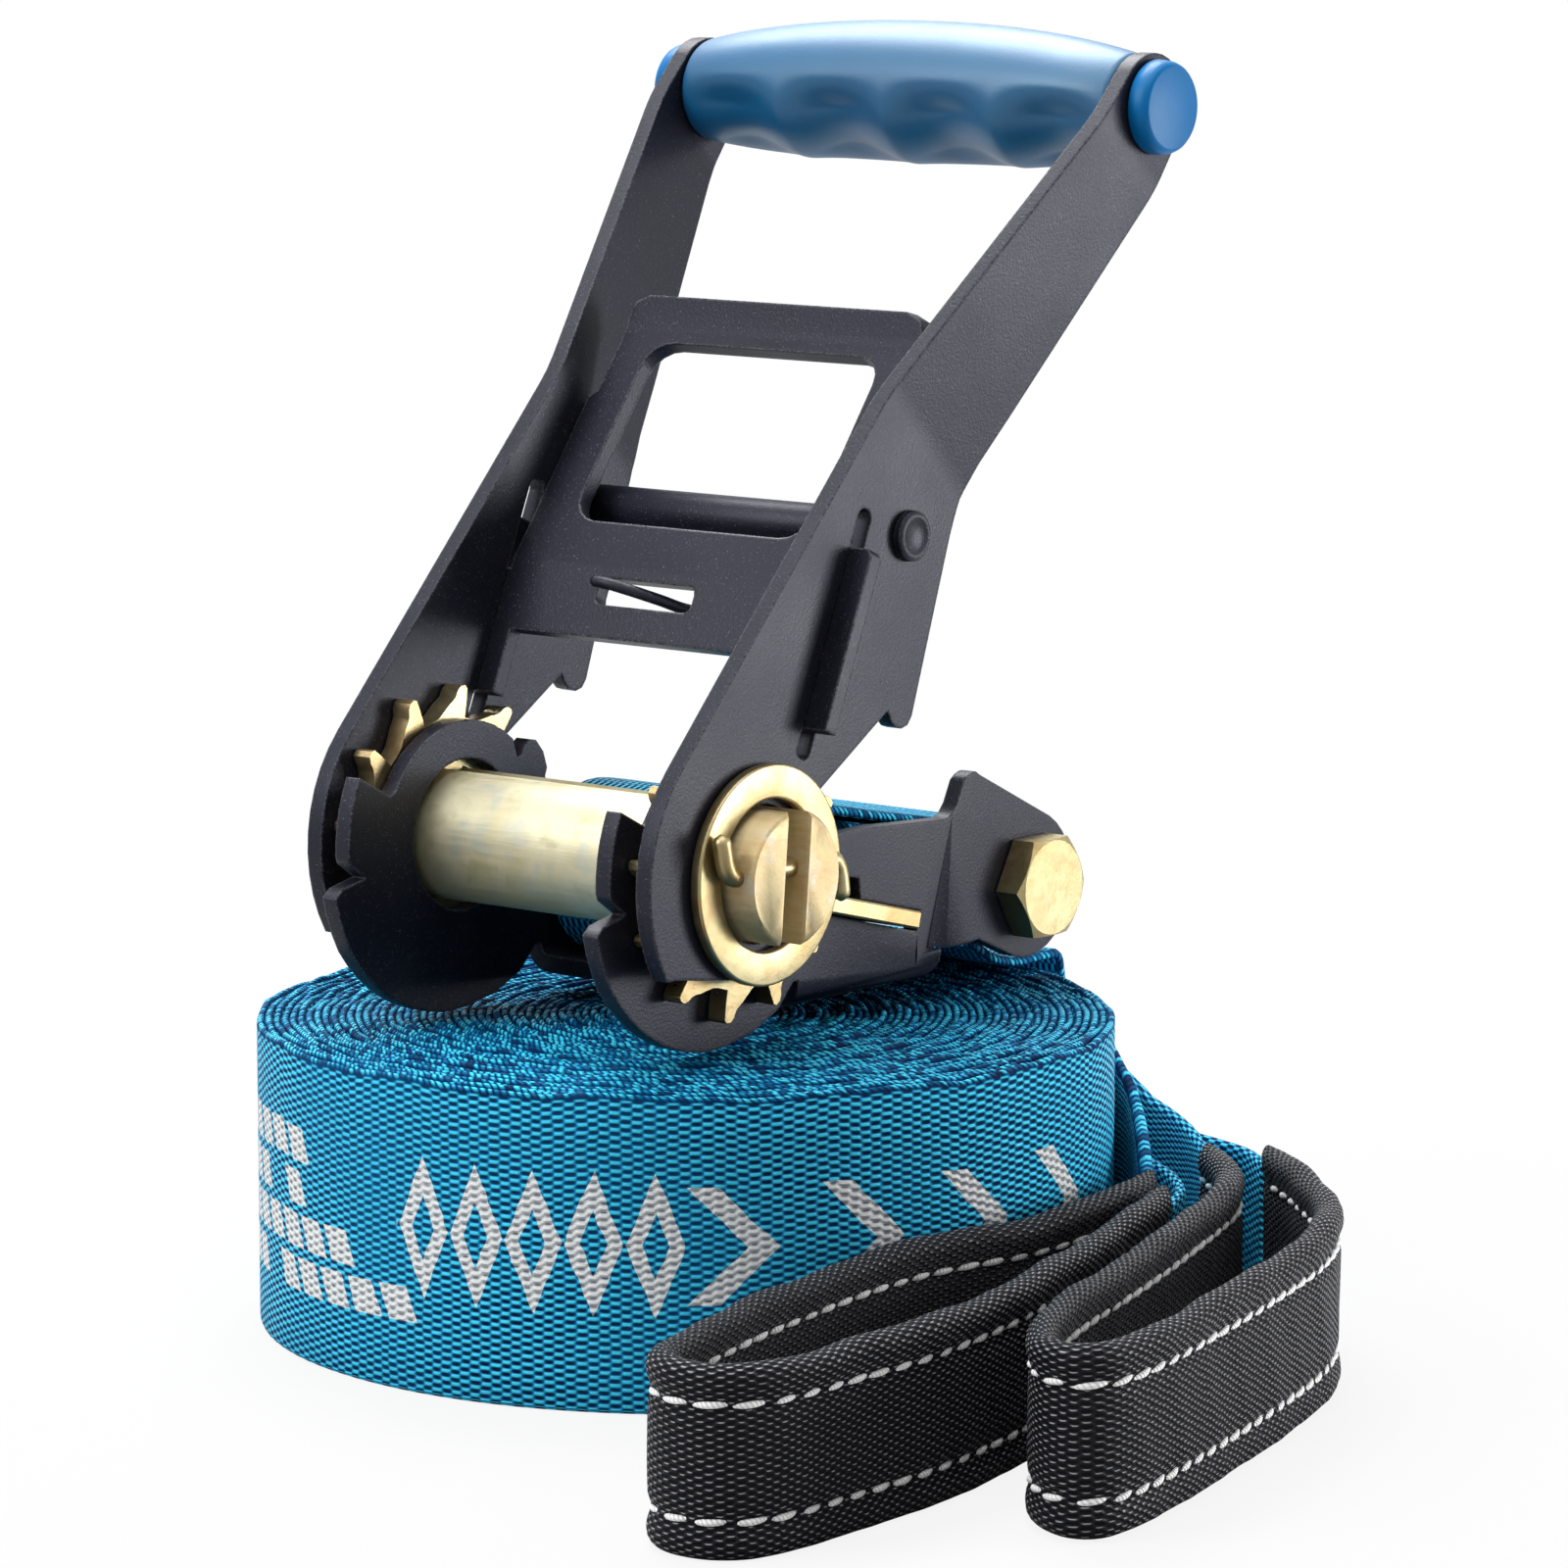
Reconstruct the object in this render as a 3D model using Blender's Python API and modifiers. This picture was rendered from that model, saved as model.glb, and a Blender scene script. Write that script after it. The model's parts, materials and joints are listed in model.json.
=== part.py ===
"""Slackline ratchet set: a long-lever webbing ratchet standing on its rolled-up webbing.

Every length is in metres, every angle in degrees. The X axis runs along the spool, Y points from the
spool to the base's rear bolt, Z is up. Outlines of the flat steel pieces are written as (Y, Z) pairs
measured from the spool's axis, as seen from the +X side.
"""
import bmesh
import bpy
import numpy as np
from math import asin, atan2, cos, degrees, hypot, pi, radians, sin, sqrt
from mathutils import Matrix, Vector

# Clearances
SEAT_GAP = 0.0003
SLIDE_GAP = 0.0003

# Webbing
WEBBING_WIDTH = 0.050
ROLL_RADIUS = 0.0705
ROLL_CORE_RADIUS = 0.0035
ROLL_LOOPS = 24
ROLL_PLY = 0.0022
POINTS_PER_LOOP = 24
PLY = 0.0018
STRAP_WIDTH = 0.0475

# Sleeves round the two sewn loops
SLEEVE_HEIGHT = 0.0285
SLEEVE_THICKNESS = 0.0047
LOOP_WEBBING_HEIGHT = 0.025

# Layout: the roll under the ratchet, and the turn of the viewer's front from the ratchet's
ROLL_PLACE = (0.00195, 0.02296)
FRONT_TURN = 38.95

# Base channel
STEEL = 0.003
CHEEK_INSIDE = 0.0255
FRONT_LOBE_RADIUS = 0.0282
FRONT_LOBE_RISE = 0.0031
CHEEK_NECK_RADIUS = 0.0185
CHEEK_BUMP_RADIUS = 0.0275
WEB_BOTTOM = -0.0252
WEB_FRONT = 0.0185
WEB_REAR = 0.0555
WEB_BEND_RADIUS = 0.0015
RELIEF_WIDTH = 0.0013
SHAFT_HOLE_RADIUS = 0.0123
REAR_LOBE_RADIUS = 0.0122

# Rear bolt
BOLT_PLACE = (0.0790, -0.0128)
BOLT_RADIUS = 0.0049
BOLT_FLATS = 0.016
BOLT_HEAD_HEIGHT = 0.0050
NUT_HEIGHT = 0.0080
THREAD_END = 0.0020
THREAD_CHAMFER = 0.0006
HEX_SLOPE = 0.0013
SPACER_RADIUS = 0.0080
SHAFT_RUNNING_GAP = 0.0003

# Spool
HALF_SHAFT_RADIUS = 0.0107
WEBBING_SLOT = 0.0050
SLOT_TILT = 5.3
SHAFT_END = 0.0430
WHEEL_THICKNESS = 0.0035
WHEEL_TIP_RADIUS = 0.0238
WHEEL_ROOT_RADIUS = 0.0186
TOOTH_COUNT = 12
FIRST_TOOTH = 50
WASHER_RADIUS = 0.0174
WASHER_BORE_RADIUS = 0.0120
WASHER_THICKNESS = 0.0020
COTTER_RADIUS = 0.0015
COTTER_HOLE_RADIUS = 0.0021
COTTER_LEVEL = 0.0012

# Handle
LEVER_BOSS_RADIUS = 0.0263
LEVER_EYE_RADIUS = 0.0167
LEVER_TIP_RADIUS = 0.0087
GRIP_PLACE = (0.0857, 0.1154)
FLARE_START = 0.0739
FLARE_END = 0.1330
FLARE_BEND = 0.0030
GRIP_HALF_LENGTH = 0.0445
GRIP_END_RADIUS = 0.0084
GRIP_BACK_RADIUS = 0.0130
GRIP_RIDGE_RADIUS = 0.0106
FINGER_COUNT = 4
FINGER_DEPTH = 0.0027
FINGER_DIRECTION = 220.0
FINGER_WINDOW = (20.0, 56.0)
TUBE_RADIUS = 0.0045
TUBE_WALL = 0.0013
CAP_RADIUS = 0.0077
CAP_FACE_RADIUS = 0.0066
CAP_LENGTH = 0.0036
CAP_CHAMFER = 0.0012
CAP_SPIGOT = 0.0060
ROD_PLACE = (0.0372, 0.0494)
ROD_RADIUS = 0.0038
ROD_STUB_RADIUS = 0.0029
RIVET_HEAD_RADIUS = 0.0041
RIVET_HEAD_HEIGHT = 0.0015
RIVET_EDGE = 0.0005

# Pull plate, the handle's pawl
PULL_DIRECTION = 66.5
PULL_OFFSET = 0.00273
PULL_THICKNESS = 0.0028
PULL_TIP_GAP = 0.00035
PULL_LEG_INSIDE = 0.0289
PULL_EAR_OUTSIDE = 0.0400
PULL_EAR_END = 0.0539
PULL_BODY_START = 0.0350
PULL_BEND = 0.0455
PULL_BEND_RADIUS = 0.0080
PULL_HEAD_DIRECTION = 53.0
PULL_CURL_DIRECTION = 76.0
PULL_HEAD_END = 0.0975
PULL_CURL_START = 0.0900
WINDOW_START = 0.0547
WINDOW_END = 0.0890
WINDOW_HALF_WIDTH = 0.0242
HEAD_HALF_WIDTH = 0.0307
HEAD_JOG = 0.0790
PULL_STROKE = 0.0055
PULL_ENGAGE = 0.0022
SPRING_SLOT_START = 0.0405
SPRING_SLOT_END = 0.0450
SPRING_SLOT_LEFT = -0.013
SPRING_SLOT_RIGHT = 0.007
SPRING_WIRE_RADIUS = 0.00095
SPRING_SIDE = 0.006

# Base pawl
PAWL_DIRECTION = -14.2
PAWL_OFFSET = -0.00235
PAWL_THICKNESS = 0.00285
PAWL_TIP = 0.0222
PAWL_REAR = 0.0472
PAWL_MIDDLE_FRONT = 0.0305
PAWL_STROKE = 0.0040
PAWL_RECESS = 0.0355

# Edges
EDGE_ROUND = 0.0004
FINE_EDGE = 0.0003

# Places along X, outwards from the middle of the spool
CHEEK_OUTSIDE = CHEEK_INSIDE + STEEL
WHEEL_INSIDE = CHEEK_OUTSIDE + SEAT_GAP
WHEEL_OUTSIDE = WHEEL_INSIDE + WHEEL_THICKNESS
LEVER_INSIDE = WHEEL_OUTSIDE + SEAT_GAP
LEVER_OUTSIDE = LEVER_INSIDE + STEEL
WASHER_INSIDE = LEVER_OUTSIDE + SEAT_GAP
WASHER_OUTSIDE = WASHER_INSIDE + WASHER_THICKNESS
COTTER_PLACE = WASHER_OUTSIDE + SEAT_GAP + COTTER_RADIUS
TIP_INSIDE = GRIP_HALF_LENGTH + SEAT_GAP
TIP_OUTSIDE = TIP_INSIDE + STEEL
PAWL_HALF_WIDTH = LEVER_INSIDE - SLIDE_GAP
PULL_HALF_WIDTH = LEVER_INSIDE - SLIDE_GAP - 0.0001
PULL_TIP = WHEEL_TIP_RADIUS + PULL_TIP_GAP
AXIS_HEIGHT = WEBBING_WIDTH + SEAT_GAP + FRONT_LOBE_RADIUS


# Scene
for old in list(bpy.data.objects):
    bpy.data.objects.remove(old, do_unlink=True)

scene = bpy.context.scene
parts = bpy.data.collections.new("slackline_ratchet_set")
cutters = bpy.data.collections.new("cutters")
scene.collection.children.link(parts)
scene.collection.children.link(cutters)


def group(name, parent=None, place=(0.0, 0.0, 0.0), turn=0.0):
    """An empty that carries pieces; turn is about Z."""
    empty = bpy.data.objects.new(name, None)
    empty.empty_display_size = 0.02
    empty.location = place
    empty.rotation_euler = (0.0, 0.0, radians(turn))
    empty.parent = parent
    parts.objects.link(empty)
    return empty


def finish(name, color, roughness, metallic=0.0):
    """A plain Principled material."""
    material = bpy.data.materials.new(name)
    material.use_nodes = True
    shader = material.node_tree.nodes["Principled BSDF"]
    shader.inputs["Base Color"].default_value = (*color, 1.0)
    shader.inputs["Roughness"].default_value = roughness
    shader.inputs["Metallic"].default_value = metallic
    material.diffuse_color = (*color, 1.0)
    return material


BLACK_STEEL = finish("black_powder_coat", (0.018, 0.018, 0.020), 0.45, 0.2)
ZINC = finish("yellow_zinc_steel", (0.62, 0.52, 0.28), 0.30, 1.0)
GRIP_PLASTIC = finish("blue_grip_plastic", (0.010, 0.060, 0.200), 0.45)
CAP_PLASTIC = finish("blue_cap_plastic", (0.010, 0.120, 0.420), 0.35)
WEBBING = finish("blue_webbing", (0.010, 0.240, 0.480), 0.85)
SLEEVE_CLOTH = finish("black_sleeve_cloth", (0.020, 0.020, 0.022), 0.90)

ratchet_set = group("ratchet_set")
main_line = group("main_line", ratchet_set, (*ROLL_PLACE, 0.0), FRONT_TURN)
ratchet_base = group("ratchet_base", ratchet_set, (0.0, 0.0, AXIS_HEIGHT))
strap_line = group("strap_line", ratchet_base, (*ROLL_PLACE, -AXIS_HEIGHT), FRONT_TURN)
spool = group("spool", ratchet_base)
handle = group("handle", ratchet_base)
handle_pawl = group("handle_pawl", handle)
base_pawl = group("base_pawl_slide", ratchet_base)


# Outlines
def arc(center, radius, start, end, steps):
    """Points on a circle from one angle to another, both ends included."""
    angles = np.radians(np.linspace(start, end, steps + 1))
    return [(center[0] + radius * cos(a), center[1] + radius * sin(a)) for a in angles]


def circle(center, radius, sides):
    """A closed ring of points."""
    return arc(center, radius, 0, 360, sides)[:-1]


def rounded_box(left, right, low, high, radius, steps):
    """A rectangle with round corners."""
    corners = ((right, high, 0), (left, high, 90), (left, low, 180), (right, low, 270))
    loop = []
    for x, y, start in corners:
        center = (x - radius if x == right else x + radius, y - radius if y == high else y + radius)
        loop += arc(center, radius, start, start + 90, steps)
    return loop


def along(direction, distance, offset):
    """The (Y, Z) point a distance along a direction, and an offset to its right."""
    a = radians(direction)
    return (distance * cos(a) + offset * sin(a), distance * sin(a) - offset * cos(a))


def smooth(points, steps):
    """A smooth line through the points, with a number of steps between each two."""
    p = [Vector(q) for q in points]
    p = [p[0] * 2 - p[1]] + p + [p[-1] * 2 - p[-2]]
    line = []
    for a, b, c, d in zip(p, p[1:], p[2:], p[3:]):
        square = a * 2 - b * 5 + c * 4 - d
        cube = b * 3 - a - c * 3 + d
        for t in np.arange(steps) / steps:
            line.append((b * 2 + (c - a) * t + square * t ** 2 + cube * t ** 3) / 2)
    return line + [p[-2]]


# Making solids
def add(name, mesh, material, parent):
    """Put a finished mesh in the parts collection under its carrier."""
    piece = bpy.data.objects.new(name, mesh)
    mesh.materials.clear()
    mesh.materials.append(material)
    piece.parent = parent
    parts.objects.link(piece)
    return piece


def flat_mesh(outlines, thickness):
    """A flat plate from closed outlines; the ones inside the first are its holes."""
    curve = bpy.data.curves.new("outline", "CURVE")
    curve.dimensions = "2D"
    curve.fill_mode = "BOTH"
    curve.extrude = thickness / 2
    for outline in outlines:
        spline = curve.splines.new("POLY")
        spline.points.add(len(outline) - 1)
        for point, place in zip(spline.points, outline):
            point.co = (place[0], place[1], 0.0, 1.0)
        spline.use_cyclic_u = True
    return mesh_of(bpy.data.objects.new("outline", curve))


def mesh_of(source):
    """The evaluated mesh of a curve or a mesh object, with its caps welded; the source is removed."""
    scene.collection.objects.link(source)
    bpy.context.view_layer.update()
    mesh = bpy.data.meshes.new_from_object(source.evaluated_get(bpy.context.evaluated_depsgraph_get()))
    bpy.data.objects.remove(source, do_unlink=True)
    edit = bmesh.new()
    edit.from_mesh(mesh)
    bmesh.ops.remove_doubles(edit, verts=edit.verts, dist=0.000002)
    bmesh.ops.dissolve_limit(edit, angle_limit=radians(0.2), verts=edit.verts, edges=edit.edges)
    bmesh.ops.recalc_face_normals(edit, faces=edit.faces)
    edit.to_mesh(mesh)
    edit.free()
    return mesh


def press(mesh, cuts, place):
    """Bend a flat mesh: split it along the cut planes, then move each point by the place rule."""
    edit = bmesh.new()
    edit.from_mesh(mesh)
    for point, normal in cuts:
        bmesh.ops.bisect_plane(
            edit, geom=edit.verts[:] + edit.edges[:] + edit.faces[:], dist=0.000001,
            plane_co=point, plane_no=normal,
        )
    for vert in edit.verts:
        vert.co = place(*vert.co)
    bmesh.ops.dissolve_limit(edit, angle_limit=radians(0.2), verts=edit.verts, edges=edit.edges)
    bmesh.ops.recalc_face_normals(edit, faces=edit.faces)
    edit.to_mesh(mesh)
    edit.free()
    return mesh


def stand_up(mesh, middle):
    """Turn a plate drawn as (Y, Z) so that its thickness runs along X, with its middle at X."""
    upright = Matrix(((0, 0, 1, 0), (1, 0, 0, 0), (0, 1, 0, 0), (0, 0, 0, 1)))
    mesh.transform(Matrix.Translation((middle, 0, 0)) @ upright)
    return mesh


def round_edges(piece, width=EDGE_ROUND, segments=1):
    """A small bevel on the sharp edges, then smooth shading between them."""
    bevel = piece.modifiers.new("edges", "BEVEL")
    bevel.width = width
    bevel.segments = segments
    bevel.limit_method = "ANGLE"
    bevel.angle_limit = radians(50)
    bevel.harden_normals = False
    shade(piece)
    return piece


def shade(piece):
    """Smooth shading that keeps the real edges sharp."""
    piece.data.shade_smooth()
    piece.data.set_sharp_from_angle(angle=radians(35))
    return piece


def turned(name, profile, material, parent, center, sides=32):
    """A solid of revolution about an axis along X through a (Y, Z) centre.

    The profile lists (X, radius) pairs from the left end to the right one along the outside, and back
    along the bore if there is one.
    """
    mesh = bpy.data.meshes.new(name)
    steps = [(i, i + 1) for i in range(len(profile) - 1)]
    mesh.from_pydata([(radius, 0.0, -x) for x, radius in profile], steps, [])
    source = bpy.data.objects.new(name, mesh)
    screw = source.modifiers.new("turn", "SCREW")
    screw.steps = sides
    screw.render_steps = sides
    screw.use_merge_vertices = True
    screw.merge_threshold = 0.00001
    solid = mesh_of(source)
    solid.transform(Matrix.Translation((0, *center)) @ Matrix.Rotation(-pi / 2, 4, "Y"))
    return shade(add(name, solid, material, parent))


def pipe(half, outside, bore):
    """The profile of a plain pipe from -half to half."""
    return [(-half, bore), (-half, outside), (half, outside), (half, bore), (-half, bore)]


def drill(piece, *tools):
    """Cut the tools out of the piece."""
    for tool in tools:
        cut = piece.modifiers.new("cut", "BOOLEAN")
        cut.operation = "DIFFERENCE"
        cut.object = tool
    return piece


def as_tool(piece):
    """Move a piece over to the cutting tools, which are kept out of the renders."""
    parts.objects.unlink(piece)
    cutters.objects.link(piece)
    piece.hide_render = True
    piece.display_type = "WIRE"
    return piece


def wire(name, points, radius, material, parent):
    """A round wire through points."""
    curve = bpy.data.curves.new(name, "CURVE")
    curve.dimensions = "3D"
    curve.bevel_depth = radius
    curve.bevel_resolution = 2
    curve.use_fill_caps = True
    spline = curve.splines.new("POLY")
    spline.points.add(len(points) - 1)
    for point, place in zip(spline.points, points):
        point.co = (*place, 1.0)
    return shade(add(name, mesh_of(bpy.data.objects.new(name, curve)), material, parent))


def ribbon(name, edges, thickness, material, parent):
    """Webbing between two edge lines, given as pairs of points, thickened to both sides."""
    mesh = bpy.data.meshes.new(name)
    points = [corner for pair in edges for corner in pair]
    faces = [(2 * i, 2 * i + 2, 2 * i + 3, 2 * i + 1) for i in range(len(edges) - 1)]
    mesh.from_pydata([tuple(q) for q in points], [], faces)
    piece = add(name, mesh, material, parent)
    wall = piece.modifiers.new("thickness", "SOLIDIFY")
    wall.thickness = thickness
    wall.offset = 0.0
    wall.use_even_offset = True
    return shade(piece)


# Webbing roll: one strip wound on its edge, from the core outwards, ending at the right rear
ROLL_END = 27.0
roll_steps = ROLL_LOOPS * POINTS_PER_LOOP
roll_outer = ROLL_RADIUS - ROLL_PLY / 2
roll_line = []
for step in range(roll_steps + 1):
    share = step / roll_steps
    r = ROLL_CORE_RADIUS + (roll_outer - ROLL_CORE_RADIUS) * share
    angle = radians(ROLL_END + 360.0 * ROLL_LOOPS * (1 - share))
    roll_line.append(Vector((r * cos(angle), r * sin(angle))))
ribbon(
    "webbing_roll", [((*q, 0.0), (*q, WEBBING_WIDTH)) for q in roll_line], ROLL_PLY, WEBBING, main_line
)


def least_gap(line, ply, skip):
    """The least distance between points of a line and later stretches of it, less the ply."""
    p = np.array([tuple(q) for q in line])
    least = 1.0
    for i in range(len(p)):
        a, b = p[i + skip:-1], p[i + skip + 1:]
        if len(a) == 0:
            break
        run = b - a
        t = np.clip(((p[i] - a) * run).sum(1) / (run * run).sum(1), 0, 1)
        least = min(least, np.linalg.norm(a + run * t[:, None] - p[i], axis=1).min())
    return least - ply


roll_gap = least_gap(roll_line, ROLL_PLY, POINTS_PER_LOOP // 2)
print("webbing_roll least gap to itself: %.2f mm" % (1000 * roll_gap))


# The two loops in front. Their routes are laid out in the viewer's frame: (right, away) of the roll's middle
def standing(points, steps, height, foot=0.0, heights=None):
    """Edge pairs of a strip that stands on its edge along a smooth line."""
    line = smooth([Vector((*q, 0.0)) for q in points], steps)
    tops = np.full(len(line), height) if heights is None else np.interp(
        np.linspace(0, 1, len(line)), np.linspace(0, 1, len(heights)), heights)
    return [((q.x, q.y, foot), (q.x, q.y, foot + top)) for q, top in zip(line, tops)]


MAIN_LOOP_ROUTE = [
    (0.0738, -0.0210), (0.0665, -0.0375), (0.0530, -0.0565), (0.0340, -0.0735), (0.0180, -0.0980),
    (0.0065, -0.1200), (-0.0010, -0.1375), (-0.0005, -0.1465), (0.0060, -0.1512), (0.0140, -0.1485),
    (0.0252, -0.1359), (0.0361, -0.1225), (0.0478, -0.1029), (0.0588, -0.0782), (0.0690, -0.0520),
    (0.0752, -0.0340),
]
STRAP_LOOP_ROUTE = [
    (0.0842, -0.0020), (0.0862, -0.0250), (0.0810, -0.0450), (0.0690, -0.0790), (0.0590, -0.1040),
    (0.0530, -0.1230), (0.0528, -0.1350), (0.0570, -0.1410), (0.0628, -0.1380), (0.0716, -0.1229),
    (0.0889, -0.0854), (0.0975, -0.0620), (0.1000, -0.0430), (0.0980, -0.0240), (0.0938, -0.0050),
]
tail_angle = radians(ROLL_END) - SEAT_GAP / roll_outer
MAIN_TAIL_ROUTE = [
    (roll_outer * cos(tail_angle), roll_outer * sin(tail_angle)), (0.0661, 0.0233), (0.0703, 0.0110),
    (0.0727, 0.0000), (0.0736, -0.0205),
]
MAIN_LAP_ROUTE = [
    (0.0759, -0.0332), (0.0785, -0.0210), (0.0778, -0.0100), (0.0753, 0.0000), (0.0728, 0.0109), (0.0688, 0.0235),
]

ribbon("main_loop_sleeve", standing(MAIN_LOOP_ROUTE, 3, SLEEVE_HEIGHT), SLEEVE_THICKNESS, SLEEVE_CLOTH, main_line)
ribbon(
    "main_tail", standing(MAIN_TAIL_ROUTE, 4, WEBBING_WIDTH, heights=(WEBBING_WIDTH, LOOP_WEBBING_HEIGHT)),
    PLY, WEBBING, main_line,
)
ribbon("main_lap", standing(MAIN_LAP_ROUTE, 4, LOOP_WEBBING_HEIGHT), PLY, WEBBING, main_line)
ribbon(
    "strap_loop_sleeve", standing(STRAP_LOOP_ROUTE, 3, SLEEVE_HEIGHT, SEAT_GAP), SLEEVE_THICKNESS, SLEEVE_CLOTH,
    strap_line,
)


# Base channel: one blank of sheet steel, two cheeks on a web, bent up along both sides of the web
web_middle = WEB_BOTTOM + STEEL / 2
bend_radius = WEB_BEND_RADIUS + STEEL / 2
bend_start = CHEEK_INSIDE - WEB_BEND_RADIUS
bend_length = bend_radius * pi / 2
cheek_foot = web_middle + bend_radius
cheek_middle = CHEEK_INSIDE + STEEL / 2


def front_lobe(angle):
    """A point of the cam lobe in front of the spool, which swells away from its foot."""
    radius = FRONT_LOBE_RADIUS + FRONT_LOBE_RISE * min(1.0, (270 - angle) / 60)
    return (radius * cos(radians(angle)), radius * sin(radians(angle)))


cheek_outline = [front_lobe(angle) for angle in np.linspace(192, 270, 14)]
cheek_outline += [
    (0.0070, -0.0270), (0.0133, -0.0243), (WEB_FRONT - RELIEF_WIDTH, cheek_foot + 0.0004),
    (WEB_FRONT, cheek_foot + 0.0004), "web",
    (WEB_REAR, cheek_foot + 0.0004), (WEB_REAR + RELIEF_WIDTH, cheek_foot + 0.0004),
    (0.0627, -0.0206), (0.0655, -0.0202),
]
cheek_outline += arc(BOLT_PLACE, REAR_LOBE_RADIUS, 240, 421, 16)
cheek_outline += [
    (0.0656, 0.0071), (0.0647, 0.0077), (0.0638, 0.0077), (0.0625, 0.0073), (0.0614, 0.0065),
    (0.0596, 0.0030), (0.0582, 0.0014), (0.0565, 0.0008), (0.0518, 0.0011), (0.0380, 0.0019),
    (0.0232, 0.0019), (0.0208, 0.0044), (0.0198, 0.0071), (0.0203, 0.0085), (0.0194, 0.0112),
    (0.0176, 0.0133), (0.0160, 0.0136), (0.0150, 0.0130), (0.0139, 0.0113), (0.0128, 0.0110),
]
cheek_outline += arc((0, 0), CHEEK_NECK_RADIUS, 50, 149, 12)
cheek_outline += [(-0.0164, 0.0089), (-0.0176, 0.0084)]
cheek_outline += arc((0, 0), CHEEK_BUMP_RADIUS, 154, 181, 5)
cheek_outline += [(-0.0271, -0.0016), (-0.0235, -0.0041), (-0.0290, -0.0052)]


def blank_row(point):
    """Where a cheek's point lies in the flat blank, as distance from its middle line."""
    return bend_start + bend_length + point[1] - cheek_foot


def blank_half(side):
    """One half of the blank's outline, from the web's front edge to its rear edge or back."""
    split = cheek_outline.index("web")
    loop = cheek_outline[split + 1:] + cheek_outline[:split]
    return [(side * blank_row(q), q[0]) for q in loop]


right_half = blank_half(1)
left_half = blank_half(-1)[::-1]
blank_outline = [(0, WEB_REAR)] + right_half + [(0, WEB_FRONT)] + left_half

slot_front = PAWL_TIP + 0.0036
slot_rear = PAWL_REAR + PAWL_STROKE + 0.0005
slot_floor = -PAWL_OFFSET + PAWL_THICKNESS / 2 + SLIDE_GAP
slot_roof = -PAWL_OFFSET - PAWL_THICKNESS / 2 - SLIDE_GAP
recess_roof = slot_roof - 0.0032
pawl_slot = [
    along(PAWL_DIRECTION, slot_front, slot_floor), along(PAWL_DIRECTION, slot_rear, slot_floor),
    along(PAWL_DIRECTION, slot_rear, slot_roof), along(PAWL_DIRECTION, PAWL_RECESS, slot_roof),
    along(PAWL_DIRECTION, PAWL_RECESS - 0.0012, recess_roof), along(PAWL_DIRECTION, slot_front + 0.0012, recess_roof),
    along(PAWL_DIRECTION, slot_front, recess_roof + 0.0012),
]
shaft_hole = circle((0, 0), SHAFT_HOLE_RADIUS, 32)
bolt_hole = circle(BOLT_PLACE, BOLT_RADIUS + SEAT_GAP, 20)
blank_holes = []
for hole in (pawl_slot, shaft_hole, bolt_hole):
    for side in (1, -1):
        blank_holes.append([(side * blank_row(q), q[0]) for q in hole])


def bend_base(x, y, n):
    """Fold the blank: the web stays level, the cheeks stand up, the lobes past the web stay flat."""
    side = 1 if x >= 0 else -1
    run = abs(x) - bend_start
    if run >= bend_length or not WEB_FRONT - 0.0001 <= y <= WEB_REAR + 0.0001:
        return (side * (cheek_middle + n), y, cheek_foot + run - bend_length)
    if run <= 0:
        return (x, y, web_middle - n)
    turn = run / bend_radius
    reach = bend_radius + n
    return (side * (bend_start + reach * sin(turn)), y, cheek_foot - reach * cos(turn))


base_mesh = flat_mesh([blank_outline] + blank_holes, STEEL)
bend_cuts = []
for side in (1, -1):
    for step in range(5):
        bend_cuts.append(((side * (bend_start + bend_length * step / 4), 0, 0), (1, 0, 0)))
round_edges(add("base_frame", press(base_mesh, bend_cuts, bend_base), BLACK_STEEL, ratchet_base))


# Rear bolt, its nut, and the spacer that the strap goes round
def hex_cone(name, near, far, reach, face):
    """The turned form that rounds a hexagon's corners off towards its far face."""
    step = HEX_SLOPE if far > near else -HEX_SLOPE
    end = far + step / 10
    profile = [(near - step, 0.0), (near - step, reach), (far - step, reach), (end, face), (end, 0.0)]
    if far < near:
        profile = profile[::-1]
    return as_tool(turned(name, profile, BLACK_STEEL, ratchet_base, BOLT_PLACE, 32))


def keep_inside(piece, form):
    """Keep only what lies inside the form."""
    trim = piece.modifiers.new("corners", "BOOLEAN")
    trim.operation = "INTERSECT"
    trim.object = form
    return piece


bolt_head_end = WHEEL_INSIDE + BOLT_HEAD_HEIGHT
nut_start = -WHEEL_INSIDE
nut_end = nut_start - NUT_HEIGHT
bolt_corner = BOLT_FLATS / sqrt(3)
hex_reach = bolt_corner + 0.001
hex_face = BOLT_FLATS / 2 - EDGE_ROUND

hex_ring = circle(BOLT_PLACE, bolt_corner, 6)
head_mesh = stand_up(flat_mesh([hex_ring], BOLT_HEAD_HEIGHT), (WHEEL_INSIDE + bolt_head_end) / 2)
head = add("base_bolt", head_mesh, ZINC, ratchet_base)
keep_inside(head, hex_cone("bolt_head_form", WHEEL_INSIDE, bolt_head_end, hex_reach, hex_face))
shank_end = nut_end - THREAD_END
shank_root = WHEEL_INSIDE + 0.002
shank_profile = [
    (shank_end, 0.0), (shank_end, BOLT_RADIUS - THREAD_CHAMFER), (shank_end + THREAD_CHAMFER, BOLT_RADIUS),
    (shank_root, BOLT_RADIUS), (shank_root, 0.0),
]
weld = head.modifiers.new("shank", "BOOLEAN")
weld.operation = "UNION"
weld.object = as_tool(turned("bolt_shank_form", shank_profile, ZINC, ratchet_base, BOLT_PLACE, 20))
shade(head)

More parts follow.
